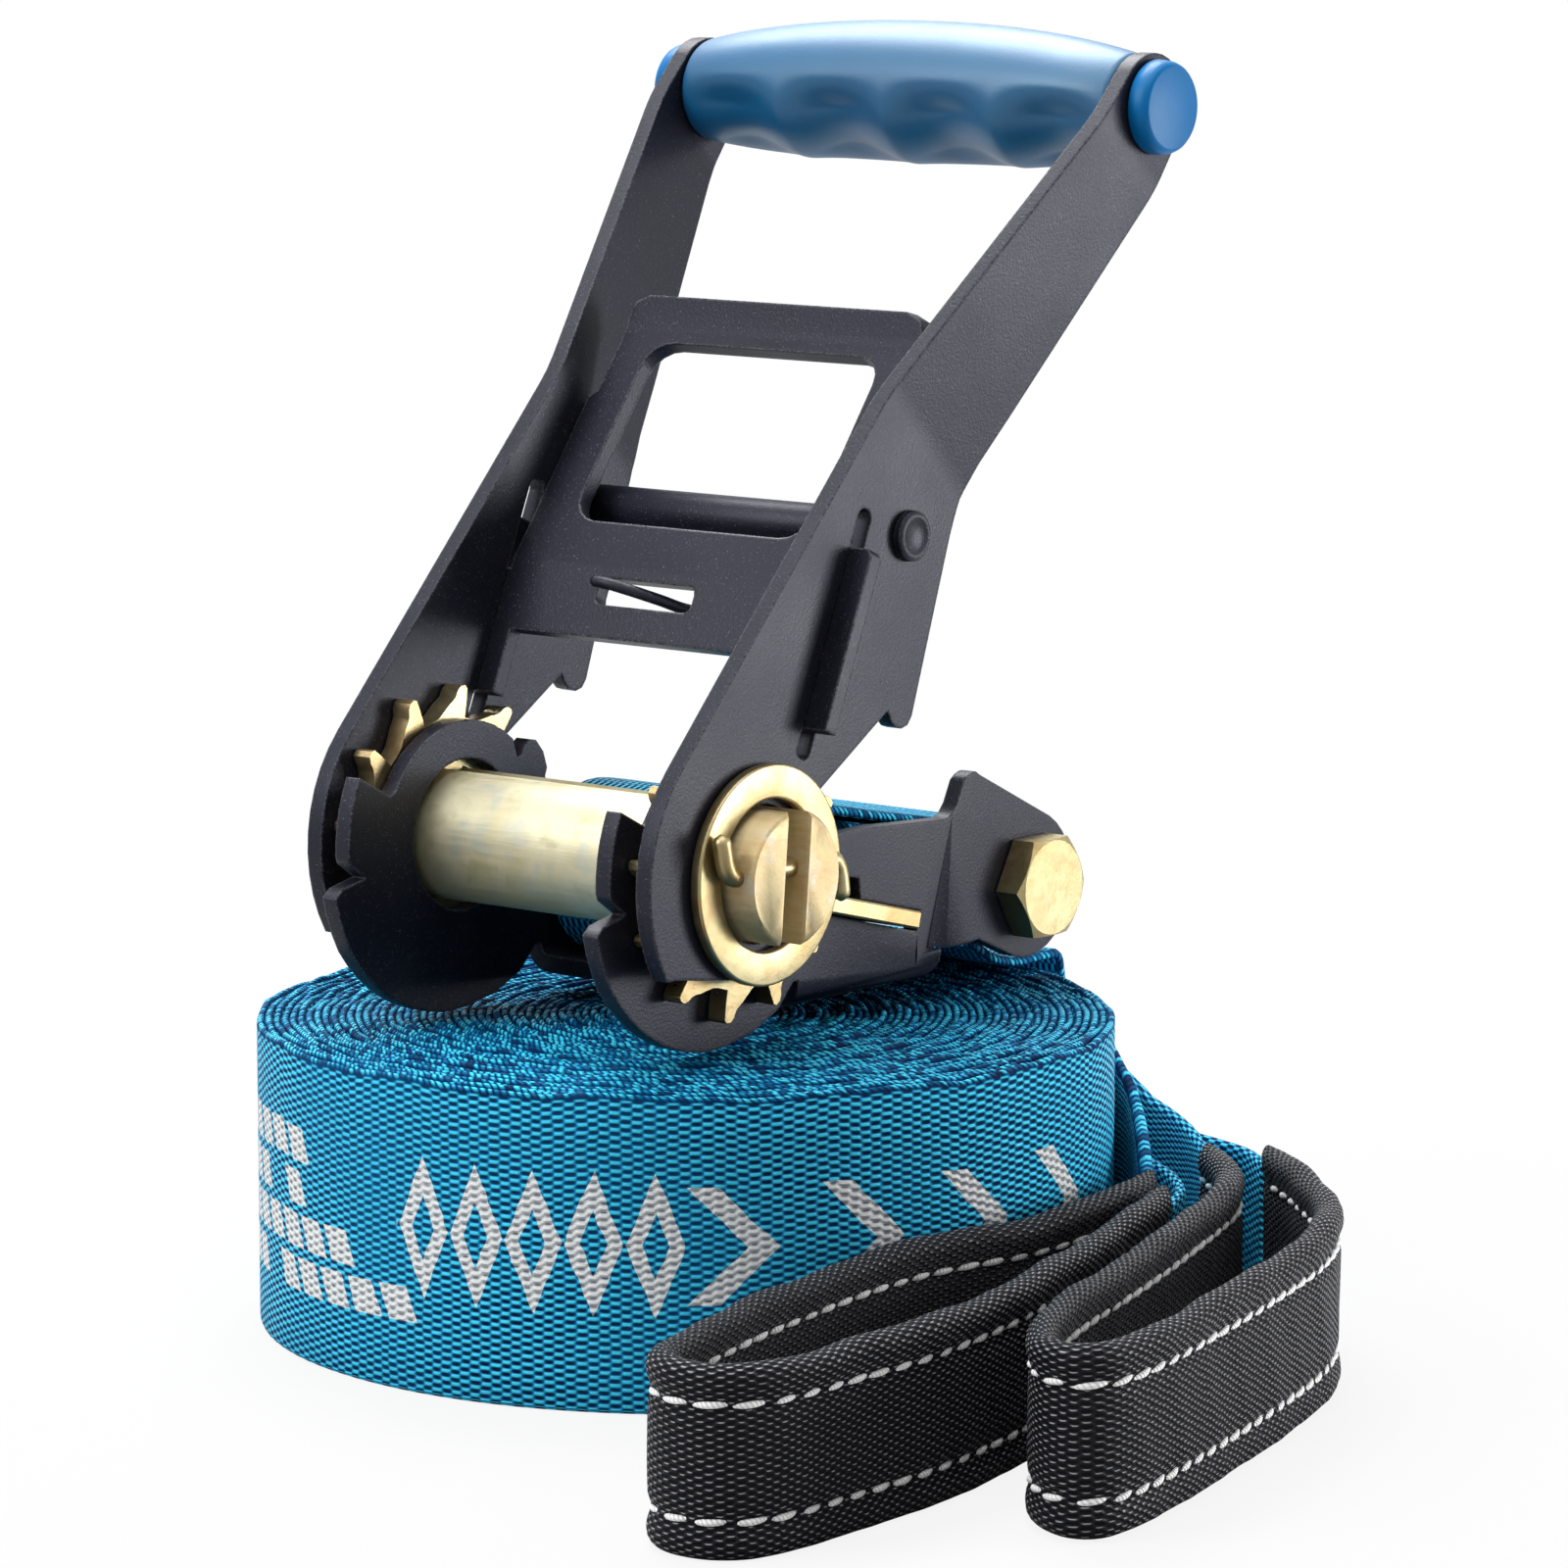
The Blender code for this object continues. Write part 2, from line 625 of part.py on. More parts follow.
nut_mesh = stand_up(flat_mesh([hex_ring, bolt_hole], NUT_HEIGHT), (nut_start + nut_end) / 2)
nut = add("bolt_nut", nut_mesh, ZINC, ratchet_base)
keep_inside(nut, hex_cone("nut_form", nut_start, nut_end, hex_reach, hex_face))
shade(nut)

spacer_half = CHEEK_INSIDE - SEAT_GAP
turned("bolt_spacer", pipe(spacer_half, SPACER_RADIUS, BOLT_RADIUS + SEAT_GAP), ZINC, ratchet_base, BOLT_PLACE, 24)


# Ratchet strap: up behind the roll, over its rim, under the bolt, along the web, back over the base
# pawl, round the spacer and forward again to its sewn end
wrap = SPACER_RADIUS + SEAT_GAP + PLY / 2
roll_top = -FRONT_LOBE_RADIUS + PLY / 2
web_top = WEB_BOTTOM + STEEL + SEAT_GAP + PLY / 2
strap_drop = ROLL_PLACE[1] + ROLL_RADIUS + 0.0013 + PLY / 2
strap_foot = -AXIS_HEIGHT + 0.0015
strap_route = [
    (strap_drop, strap_foot), (strap_drop, -0.0500), (strap_drop, -0.0345), (strap_drop - 0.0003, -0.0300),
    (strap_drop - 0.0014, -0.0274), (strap_drop - 0.0045, roll_top + 0.0003), (0.0830, roll_top + 0.0003),
    (0.0765, -0.0255), (0.0700, -0.0222),
    (0.0600, web_top), (0.0450, web_top), (0.0290, web_top), (0.0240, -0.0196), (0.0208, -0.0155),
    (0.0198, -0.0090), (0.0204, -0.0020), (0.0235, 0.0035), (0.0300, 0.0051), (0.0450, 0.0023),
    (0.0620, -0.0010), (0.0720, -0.0029),
]
strap_middle = smooth([Vector((0, *q)) for q in strap_route], 3)
strap_wrap = [Vector((0, *q)) for q in arc(BOLT_PLACE, wrap, 94, -112, 14)]
strap_end_route = [
    (0.0715, -0.0198), (0.0665, -0.0165), (0.0600, -0.0085), (0.0540, -0.0026), (0.0460, -0.0003), (0.0370, 0.0015),
]
strap_end = smooth([Vector((0, *q)) for q in strap_end_route], 3)
strap_line_points = strap_middle + strap_wrap + strap_end
half_strap = Vector((STRAP_WIDTH / 2, 0, 0))
ribbon("ratchet_strap", [(q - half_strap, q + half_strap) for q in strap_line_points], PLY, WEBBING, ratchet_base)

# The strap turns a corner behind the roll and goes to its loop, standing on its edge
behind = strap_drop + PLY + SEAT_GAP


def to_front(x, y):
    """A place beside the ratchet, given in the viewer's frame."""
    a = radians(FRONT_TURN)
    dx, dy = x - ROLL_PLACE[0], y - ROLL_PLACE[1]
    return (cos(a) * dx + sin(a) * dy, -sin(a) * dx + cos(a) * dy)


STRAP_RUN_ROUTE = [
    to_front(-0.0220, behind), to_front(0.0000, behind), to_front(0.0200, behind), (0.0668, 0.0430), (0.0760, 0.0310),
    (0.0815, 0.0180), (0.0838, 0.0060), (0.0841, -0.0014),
]
STRAP_LAP_ROUTE = [(0.0934, -0.0040), (0.0912, 0.0070), (0.0868, 0.0150), (0.0835, 0.0200), (0.0804, 0.0268)]
run_height = (WEBBING_WIDTH - 0.006, WEBBING_WIDTH - 0.006, LOOP_WEBBING_HEIGHT + 0.004, LOOP_WEBBING_HEIGHT)
ribbon("strap_run", standing(STRAP_RUN_ROUTE, 3, 0, SEAT_GAP, run_height), PLY, WEBBING, strap_line)
ribbon("strap_lap", standing(STRAP_LAP_ROUTE, 3, LOOP_WEBBING_HEIGHT, SEAT_GAP), PLY, WEBBING, strap_line)


# Base pawl: a flat plate that slides in the cheeks' slots and locks both wheels
def slide_plate(x, y, n, direction, offset):
    """Lay a plate drawn as (X, distance) along a direction, at an offset from the spool's axis."""
    return Vector((x, *along(direction, y, offset - n)))


pawl_half = [
    (PAWL_HALF_WIDTH, PAWL_REAR), (PAWL_HALF_WIDTH, PAWL_TIP), (WHEEL_INSIDE, PAWL_TIP),
    (WHEEL_INSIDE, slot_front + SLIDE_GAP), (CHEEK_INSIDE - 0.0005, slot_front + SLIDE_GAP),
    (CHEEK_INSIDE - 0.0005, PAWL_MIDDLE_FRONT),
]
pawl_outline = pawl_half + [(-x, y) for x, y in pawl_half[::-1]]
pawl_mesh = flat_mesh([pawl_outline], PAWL_THICKNESS)
pawl_mesh = press(pawl_mesh, [], lambda x, y, n: slide_plate(x, y, n, PAWL_DIRECTION, -PAWL_OFFSET))
round_edges(add("base_pawl", pawl_mesh, ZINC, base_pawl), FINE_EDGE)


# Spool: two half-round shafts with the webbing's slot between them
flat_angle = degrees(asin(WEBBING_SLOT / 2 / HALF_SHAFT_RADIUS))
slot_direction = 90 - SLOT_TILT
cotter_tools = []
for side in (1, -1):
    drill_line = [(side * COTTER_PLACE, y, COTTER_LEVEL) for y in (-0.02, 0.02)]
    cotter_tools.append(as_tool(wire("cotter_drill", drill_line, COTTER_HOLE_RADIUS, ZINC, spool)))


def half_moon(side, radius, gap, steps):
    """Half a disc beside the slot, shrunk or grown by a gap."""
    middle = slot_direction - 90 * side
    flat = WEBBING_SLOT / 2 - gap
    reach = radius + gap
    spread = degrees(asin(flat / reach))
    return arc((0, 0), reach, middle - 90 + spread, middle + 90 - spread, steps)


for name, side in (("half_shaft_rear", 1), ("half_shaft_front", -1)):
    shaft_mesh = stand_up(flat_mesh([half_moon(side, HALF_SHAFT_RADIUS, 0.0, 14)], 2 * SHAFT_END), 0.0)
    drill(shade(add(name, shaft_mesh, ZINC, spool)), *cotter_tools)

# Ratchet wheels: twelve hooked teeth, two half-moon windows for the shafts. A tooth's outline is given
# as (degrees behind its tip, share of its height)
TOOTH_OUTLINE = [
    (-1.9, 0.0), (-1.6, 0.55), (-1.1, 0.92), (0.2, 1.0), (2.6, 0.97), (4.3, 0.83), (5.5, 0.62), (7.2, 0.50),
    (10.0, 0.38), (13.0, 0.22), (16.5, 0.07), (20.0, 0.0),
]
tooth_pitch = 360 / TOOTH_COUNT
wheel_outline = []
for tooth in range(TOOTH_COUNT):
    tip = FIRST_TOOTH + tooth * tooth_pitch
    for lag, share in TOOTH_OUTLINE:
        radius = WHEEL_ROOT_RADIUS + share * (WHEEL_TIP_RADIUS - WHEEL_ROOT_RADIUS)
        angle = radians(tip + lag)
        wheel_outline.append((radius * cos(angle), radius * sin(angle)))
wheel_windows = [half_moon(side, HALF_SHAFT_RADIUS, SHAFT_RUNNING_GAP, 14) for side in (1, -1)]
for name, side in (("ratchet_wheel_right", 1), ("ratchet_wheel_left", -1)):
    wheel_mesh = stand_up(flat_mesh([wheel_outline] + wheel_windows, WHEEL_THICKNESS),
                          side * (WHEEL_INSIDE + WHEEL_OUTSIDE) / 2)
    shade(add(name, wheel_mesh, ZINC, spool))

# Washers and cotters outside the lever plates
for name, side in (("washer_right", 1), ("washer_left", -1)):
    low, high = sorted((side * WASHER_INSIDE, side * WASHER_OUTSIDE))
    turned(name, [(low, WASHER_BORE_RADIUS), (low, WASHER_RADIUS - EDGE_ROUND), (low + EDGE_ROUND, WASHER_RADIUS),
                  (high - EDGE_ROUND, WASHER_RADIUS), (high, WASHER_RADIUS - EDGE_ROUND), (high, WASHER_BORE_RADIUS),
                  (low, WASHER_BORE_RADIUS)], ZINC, spool, (0, 0), 36)

hook_side = -HALF_SHAFT_RADIUS - SEAT_GAP - COTTER_RADIUS
cotter_route = [
    (hook_side - 0.0019, 0.0084), (hook_side - 0.0015, 0.0060), (hook_side - 0.0010, 0.0038),
    (hook_side - 0.0002, 0.0022), (hook_side + 0.0014, COTTER_LEVEL + 0.0001), (hook_side + 0.0040, COTTER_LEVEL),
    (0.0, COTTER_LEVEL), (0.0115, COTTER_LEVEL), (0.0138, 0.0003), (0.0148, -0.0022), (0.0152, -0.0058),
]
for name, side in (("cotter_right", 1), ("cotter_left", -1)):
    cotter_line = smooth([Vector((side * COTTER_PLACE, *q)) for q in cotter_route], 2)
    wire(name, cotter_line, COTTER_RADIUS, ZINC, spool)


# Handle: two pressed lever plates that flare out to the grip
reach = hypot(*GRIP_PLACE)
lean = degrees(atan2(GRIP_PLACE[1], GRIP_PLACE[0]))
tangent = lean + 90 - degrees(asin((LEVER_BOSS_RADIUS - LEVER_TIP_RADIUS) / reach))
lever_outline = arc((0, 0), LEVER_BOSS_RADIUS, tangent, 212, 10)
lever_outline += [(-0.0203, -0.0139)]
lever_outline += arc((0, 0), LEVER_EYE_RADIUS, 256, 398, 14)
lever_outline += [(0.0322, 0.0220), (0.0330, 0.0203), (0.0341, 0.0192), (0.0357, 0.0187), (0.0373, 0.0191),
                  (0.0383, 0.0203), (0.0480, 0.0480), (0.0505, 0.0540), (0.0540, 0.0595), (0.0600, 0.0672)]
lever_outline += arc(GRIP_PLACE, LEVER_TIP_RADIUS, -37, tangent, 14)

ear_half = PULL_THICKNESS / 2 + SLIDE_GAP
ear_low = PULL_TIP - PULL_ENGAGE - 0.0025
ear_high = PULL_EAR_END + PULL_STROKE + 0.0013
ear_box = rounded_box(PULL_OFFSET - ear_half, PULL_OFFSET + ear_half, ear_low, ear_high, ear_half - 0.0002, 4)
ear_slot = [along(PULL_DIRECTION, distance, offset) for offset, distance in ear_box]
lever_holes = [
    circle((0, 0), HALF_SHAFT_RADIUS + SEAT_GAP, 32), ear_slot,
    circle(ROD_PLACE, ROD_STUB_RADIUS + SEAT_GAP, 16), circle(GRIP_PLACE, TUBE_RADIUS + SEAT_GAP, 20),
]
flare_slope = (TIP_INSIDE - LEVER_INSIDE) / (FLARE_END - FLARE_START)


def flare(y, z):
    """How far the lever plate has moved outwards: two soft creases across it, a straight slope between."""
    s = (y + z) / sqrt(2)
    rise = 0.0
    for crease, sign in ((FLARE_START, 1), (FLARE_END, -1)):
        past = s - crease
        if past >= FLARE_BEND:
            rise += sign * flare_slope * past
        elif past > -FLARE_BEND:
            rise += sign * flare_slope * (past + FLARE_BEND) ** 2 / (4 * FLARE_BEND)
    return rise


crease_cuts = []
for crease in (FLARE_START, FLARE_END):
    for step in (-1, -0.5, 0, 0.5, 1):
        s = (crease + step * FLARE_BEND) / sqrt(2)
        crease_cuts.append(((0, s, s), (0, 1, 1)))
for name, side in (("handle_plate_right", 1), ("handle_plate_left", -1)):
    lever_mesh = stand_up(flat_mesh([lever_outline] + lever_holes, STEEL), side * (LEVER_INSIDE + LEVER_OUTSIDE) / 2)
    lever_mesh = press(lever_mesh, crease_cuts, lambda x, y, z, side=side: (x + side * flare(y, z), y, z))
    round_edges(add(name, lever_mesh, BLACK_STEEL, handle))

# Cross rod, riveted over outside the plates
rod_half = LEVER_INSIDE - SEAT_GAP
rivet_inside = LEVER_OUTSIDE + SEAT_GAP
rivet_outside = rivet_inside + RIVET_HEAD_HEIGHT
rod_profile = [
    (-rivet_outside, 0.0), (-rivet_outside, RIVET_HEAD_RADIUS - RIVET_EDGE),
    (-rivet_outside + RIVET_EDGE, RIVET_HEAD_RADIUS), (-rivet_inside, RIVET_HEAD_RADIUS),
    (-rivet_inside, ROD_STUB_RADIUS), (-rod_half, ROD_STUB_RADIUS), (-rod_half, ROD_RADIUS),
]
rod_profile += [(-x, r) for x, r in rod_profile[::-1]]
turned("cross_rod", rod_profile, BLACK_STEEL, handle, ROD_PLACE, 20)

# Grip: a moulded sleeve with a swelling back and finger grooves in front, on a steel tube
tube_bore = TUBE_RADIUS - TUBE_WALL
turned("grip_tube", pipe(TIP_OUTSIDE, TUBE_RADIUS, tube_bore), ZINC, handle, GRIP_PLACE, 20)
cap_base = TIP_OUTSIDE + SEAT_GAP
cap_top = cap_base + CAP_LENGTH
for name, side in (("grip_cap_right", 1), ("grip_cap_left", -1)):
    spigot = tube_bore - SEAT_GAP
    cap_profile = [
        (cap_base - CAP_SPIGOT, 0.0), (cap_base - CAP_SPIGOT, spigot), (cap_base, spigot), (cap_base, CAP_RADIUS),
        (cap_top - CAP_CHAMFER, CAP_RADIUS - 0.0002), (cap_top - EDGE_ROUND, CAP_FACE_RADIUS + EDGE_ROUND),
        (cap_top, CAP_FACE_RADIUS), (cap_top, 0.0),
    ]
    if side < 0:
        cap_profile = [(-x, r) for x, r in cap_profile[::-1]]
    turned(name, cap_profile, CAP_PLASTIC, handle, GRIP_PLACE, 28)

grip_stations = 37
grip_sides = 22


def grip_radius(x, angle):
    """The grip's radius at a place along it and an angle from the finger side.

    The finger grooves meet in sharp ridges along the grip and run out between the window's two angles.
    """
    share = x / GRIP_HALF_LENGTH
    back = GRIP_END_RADIUS + (GRIP_BACK_RADIUS - GRIP_END_RADIUS) * (1 - abs(share) ** 2.2)
    front = min(GRIP_RIDGE_RADIUS, GRIP_END_RADIUS + 0.021 * (1 - abs(share)))
    groove = abs(sin(pi * FINGER_COUNT * (share + 1) / 2)) ** 0.7
    away = abs(degrees((angle + pi) % (2 * pi) - pi))
    left = min(1.0, max(0.0, (FINGER_WINDOW[1] - away) / (FINGER_WINDOW[1] - FINGER_WINDOW[0])))
    depth = FINGER_DEPTH * groove * left * left * (3 - 2 * left)
    return front + (back - front) * (0.5 - 0.5 * cos(angle)) - depth


grip = bmesh.new()
rings = []
for x in np.linspace(-GRIP_HALF_LENGTH, GRIP_HALF_LENGTH, grip_stations):
    ring = []
    for corner in range(grip_sides):
        a = 2 * pi * corner / grip_sides
        r = grip_radius(x, a)
        heading = radians(FINGER_DIRECTION) + a
        ring.append(grip.verts.new((x, GRIP_PLACE[0] + r * cos(heading), GRIP_PLACE[1] + r * sin(heading))))
    rings.append(ring)
bores = []
for x in (-GRIP_HALF_LENGTH, GRIP_HALF_LENGTH):
    bore_radius = TUBE_RADIUS + SEAT_GAP
    bores.append([
        grip.verts.new((x, GRIP_PLACE[0] + bore_radius * cos(radians(FINGER_DIRECTION) + 2 * pi * k / grip_sides),
                        GRIP_PLACE[1] + bore_radius * sin(radians(FINGER_DIRECTION) + 2 * pi * k / grip_sides)))
        for k in range(grip_sides)])
rings = [bores[0]] + rings + [bores[1]]
for a, b in zip(rings, rings[1:] + rings[:1]):
    for k in range(grip_sides):
        n = (k + 1) % grip_sides
        grip.faces.new((a[k], a[n], b[n], b[k]))
bmesh.ops.recalc_face_normals(grip, faces=grip.faces)
grip_mesh = bpy.data.meshes.new("grip")
grip.to_mesh(grip_mesh)
grip.free()
shade(add("grip", grip_mesh, GRIP_PLASTIC, handle))


# Pull plate: the handle's pawl, one bent plate with a finger window, ears in the lever plates' slots
# and two legs that drop into the wheels
ear_relief = LEVER_INSIDE + 0.0009
relief_foot = PULL_BEND - 0.0004
pull_half = [
    (PULL_LEG_INSIDE, PULL_BODY_START), (PULL_LEG_INSIDE, PULL_TIP), (PULL_EAR_OUTSIDE, PULL_TIP),
    (PULL_EAR_OUTSIDE, PULL_EAR_END - 0.001), (PULL_EAR_OUTSIDE - 0.001, PULL_EAR_END), (ear_relief, PULL_EAR_END),
    (ear_relief, relief_foot), (PULL_HALF_WIDTH, relief_foot), (PULL_HALF_WIDTH, HEAD_JOG - 0.0015),
    (HEAD_HALF_WIDTH, HEAD_JOG), (HEAD_HALF_WIDTH, PULL_HEAD_END - 0.004),
    (HEAD_HALF_WIDTH - 0.0012, PULL_HEAD_END - 0.0012), (HEAD_HALF_WIDTH - 0.004, PULL_HEAD_END),
]
pull_outline = pull_half + [(-x, y) for x, y in pull_half[::-1]]
window = rounded_box(-WINDOW_HALF_WIDTH, WINDOW_HALF_WIDTH, WINDOW_START, WINDOW_END, 0.005, 4)
spring_slot = rounded_box(SPRING_SLOT_LEFT, SPRING_SLOT_RIGHT, SPRING_SLOT_START, SPRING_SLOT_END, 0.0015, 3)

head_turn = radians(PULL_DIRECTION - PULL_HEAD_DIRECTION)
curl_turn = radians(PULL_CURL_DIRECTION - PULL_HEAD_DIRECTION)
head_arc = PULL_BEND_RADIUS * head_turn
curl_arc = PULL_BEND_RADIUS * curl_turn


def bent_line(distance):
    """The plate's middle line as (Y, Z) and heading: straight, a bend back, straight, a curl up."""
    heading = radians(PULL_DIRECTION)
    place = Vector(along(PULL_DIRECTION, min(distance, PULL_BEND), PULL_OFFSET))
    bends = ((PULL_BEND, head_arc, -1), (PULL_CURL_START, curl_arc, 1))
    at = PULL_BEND
    for k, (start, length, sign) in enumerate(bends):
        if distance <= start:
            break
        part = min(distance - start, length)
        turn = part / PULL_BEND_RADIUS
        ahead = Vector((cos(heading), sin(heading)))
        left = Vector((-sin(heading), cos(heading))) * sign
        place = place + ahead * PULL_BEND_RADIUS * sin(turn) + left * PULL_BEND_RADIUS * (1 - cos(turn))
        heading += sign * turn
        at = start + part
        stop = bends[k + 1][0] if k + 1 < len(bends) else 1.0
        if distance > at:
            run = min(distance, stop) - at
            place = place + Vector((cos(heading), sin(heading))) * run
    return place, heading


def bend_pull(x, y, n):
    """Bend the plate's head; its ears stay in the plane of the legs."""
    if abs(x) > (PULL_HALF_WIDTH + ear_relief) / 2 or y <= PULL_BEND:
        return slide_plate(x, y, n, PULL_DIRECTION, PULL_OFFSET)
    place, heading = bent_line(y)
    return Vector((x, place.x - n * sin(heading), place.y + n * cos(heading)))


pull_cuts = []
for start, length in ((PULL_BEND, head_arc), (PULL_CURL_START, curl_arc)):
    for step in range(4):
        pull_cuts.append(((0, start + length * step / 3, 0), (0, 1, 0)))
pull_mesh = press(flat_mesh([pull_outline, window, spring_slot], PULL_THICKNESS), pull_cuts, bend_pull)
round_edges(add("pull_plate", pull_mesh, BLACK_STEEL, handle_pawl), FINE_EDGE)

# Pull spring: a wire from the plate's slot back to the cross rod, hooked round it
hook = ROD_RADIUS + SEAT_GAP + SPRING_WIRE_RADIUS
spring_slot_route = [
    (-0.0136, 0.0440, 0.0027), (-0.0105, 0.0438, 0.0027), (-0.0065, 0.0434, 0.0012), (-0.0020, 0.0429, -0.0012),
    (0.0020, 0.0424, -0.0036), (0.0050, 0.0430, -0.0060),
]
spring_route = [slide_plate(*q, PULL_DIRECTION, PULL_OFFSET) for q in spring_slot_route]
spring_route.append(Vector((SPRING_SIDE, 0.0310, 0.0400)))
spring_points = smooth(spring_route, 2)
spring_points += [Vector((SPRING_SIDE, *q)) for q in arc(ROD_PLACE, hook, -75, 30, 6)]
wire("pull_spring", spring_points, SPRING_WIRE_RADIUS, BLACK_STEEL, handle)


# The set is put down with the middle of its footprint on the origin
bpy.context.view_layer.update()
graph = bpy.context.evaluated_depsgraph_get()
corners = []
for piece in parts.objects:
    if piece.type == "MESH":
        solid = piece.evaluated_get(graph)
        corners += [solid.matrix_world @ vert.co for vert in solid.data.vertices]
low = Vector([min(c[k] for c in corners) for k in range(3)])
high = Vector([max(c[k] for c in corners) for k in range(3)])
ratchet_set.location = (-(low.x + high.x) / 2, -(low.y + high.y) / 2, 0.0)
bpy.context.view_layer.update()
print("size %.1f x %.1f x %.1f mm" % tuple(1000 * (high - low)))
print("spool axis at", [round(v, 5) for v in ratchet_base.matrix_world.translation])
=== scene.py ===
"""The finished look of the slackline ratchet set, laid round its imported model, in metres."""
import json
import math

import bmesh
import bpy
import numpy as np
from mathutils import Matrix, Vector

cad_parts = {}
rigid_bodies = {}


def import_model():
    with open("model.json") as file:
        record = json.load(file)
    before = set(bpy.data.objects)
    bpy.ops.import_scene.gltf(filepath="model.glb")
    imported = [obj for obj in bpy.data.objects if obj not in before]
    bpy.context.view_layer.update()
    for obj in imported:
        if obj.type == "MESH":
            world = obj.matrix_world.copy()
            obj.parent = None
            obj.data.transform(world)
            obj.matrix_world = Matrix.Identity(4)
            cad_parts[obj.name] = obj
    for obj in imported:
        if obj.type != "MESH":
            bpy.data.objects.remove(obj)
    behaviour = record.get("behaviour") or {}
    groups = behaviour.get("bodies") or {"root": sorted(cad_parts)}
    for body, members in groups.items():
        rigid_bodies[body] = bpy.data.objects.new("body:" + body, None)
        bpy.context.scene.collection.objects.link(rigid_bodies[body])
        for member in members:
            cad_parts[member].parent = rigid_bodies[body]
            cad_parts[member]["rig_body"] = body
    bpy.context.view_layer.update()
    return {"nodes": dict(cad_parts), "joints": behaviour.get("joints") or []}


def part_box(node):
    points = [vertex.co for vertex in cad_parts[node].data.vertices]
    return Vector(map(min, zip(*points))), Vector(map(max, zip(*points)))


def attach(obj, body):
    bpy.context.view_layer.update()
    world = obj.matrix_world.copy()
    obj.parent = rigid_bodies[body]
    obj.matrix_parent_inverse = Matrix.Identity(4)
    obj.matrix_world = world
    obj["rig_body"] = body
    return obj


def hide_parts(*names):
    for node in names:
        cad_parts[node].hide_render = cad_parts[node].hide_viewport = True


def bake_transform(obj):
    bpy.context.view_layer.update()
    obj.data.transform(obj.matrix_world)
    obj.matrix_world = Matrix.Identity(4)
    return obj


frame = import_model()

# Where the set stands. The spool's axis comes from its joint; the roll of webbing lies under it, and
# whoever looks at the set stands turned from the spool by the front's angle.
ROLL_FROM_AXIS = (0.00195, 0.02296)
FRONT_TURN = math.radians(38.95)
axis = next(np.array(j["pos_m"]) for j in frame["joints"] if j["name"] == "spool_turn")
roll_middle = axis[:2] + ROLL_FROM_AXIS


def from_front(right, away, up):
    """World points of places given right of, beyond and above the roll's middle on the floor.

    The pair (right, away) is turned about the upright axis by the front's angle and moved to the roll.
    """
    right, away, up = np.broadcast_arrays(*(np.asarray(v, float) for v in (right, away, up)))
    c, s = math.cos(FRONT_TURN), math.sin(FRONT_TURN)
    return np.stack([roll_middle[0] + c * right - s * away, roll_middle[1] + s * right + c * away, up], -1)


# Camera: a long lens a metre in front of the set, a little above it and looking slightly down.
CAMERA_PLACE = (0.0155, -1.052, 0.250)
CAMERA_PITCH = math.radians(8.83)
CAMERA_LENS = 152.1
CAMERA_SENSOR = 36.0
CAMERA_NEAREST = 0.05
camera_data = bpy.data.cameras.new("camera")
camera_data.lens = CAMERA_LENS
camera_data.sensor_width = CAMERA_SENSOR
camera_data.clip_start = CAMERA_NEAREST
camera = bpy.data.objects.new("camera", camera_data)
camera.location = from_front(*CAMERA_PLACE)
ahead = from_front(0.0, math.cos(CAMERA_PITCH), -math.sin(CAMERA_PITCH)) - from_front(0.0, 0.0, 0.0)
camera.rotation_euler = Vector(ahead).to_track_quat("-Z", "Y").to_euler()
bpy.context.scene.collection.objects.link(camera)
bpy.context.scene.camera = camera
bpy.context.scene.view_settings.view_transform = "Standard"


# Studio: an even white surround that lights softly, a soft lamp in front on the left, a wide one overhead,
# one behind and a small one low on the right. All of them point at the middle of the set.
FILL = 0.18
AIM_HEIGHT = 0.08
LAMPS = (  # name, right, away, up, size, watts
    ("left_softbox", -0.80, -0.40, 0.70, 0.55, 8.6),
    ("top_softbox", -0.05, -0.10, 1.05, 1.00, 8.5),
    ("back_softbox", -0.10, 0.50, 0.85, 0.55, 12.0),
    ("right_softbox", 0.60, 0.00, 0.10, 0.25, 3.2),
)


def fill(tree, node, sockets):
    """Fills a node's inputs. Sockets pairs an input's name or number with a value or another output."""
    for key, value in sockets.items():
        if isinstance(value, bpy.types.NodeSocket):
            tree.links.new(value, node.inputs[key])
        else:
            node.inputs[key].default_value = value


def put(tree, kind, sockets=None, **settings):
    """Adds a node of a kind, with its settings and its inputs."""
    made = tree.nodes.new("ShaderNode" + kind)
    for key, value in settings.items():
        setattr(made, key, value)
    fill(tree, made, sockets or {})
    return made


def calc(tree, operation, *values):
    """One operation on numbers or outputs; gives the result's output."""
    return put(tree, "Math", dict(enumerate(values)), operation=operation).outputs[0]


def seen_directly(tree):
    """1 for rays from the camera or through a gloss or a glass, 0 for the soft light."""
    rays = put(tree, "LightPath").outputs
    seen = calc(tree, "MAXIMUM", rays["Is Camera Ray"], rays["Is Glossy Ray"])
    return calc(tree, "MAXIMUM", seen, rays["Is Transmission Ray"])


surround = bpy.data.worlds.new("white_surround")
bpy.context.scene.world = surround
surround.use_nodes = True
tree = surround.node_tree
tree.nodes.clear()
soft = put(tree, "Background", {"Strength": FILL, "Color": (1, 1, 1, 1)}).outputs[0]
white = put(tree, "Background", {"Strength": 1.0, "Color": (1, 1, 1, 1)}).outputs[0]
lit = put(tree, "MixShader", {0: seen_directly(tree), 1: soft, 2: white}).outputs[0]
put(tree, "OutputWorld", {"Surface": lit})

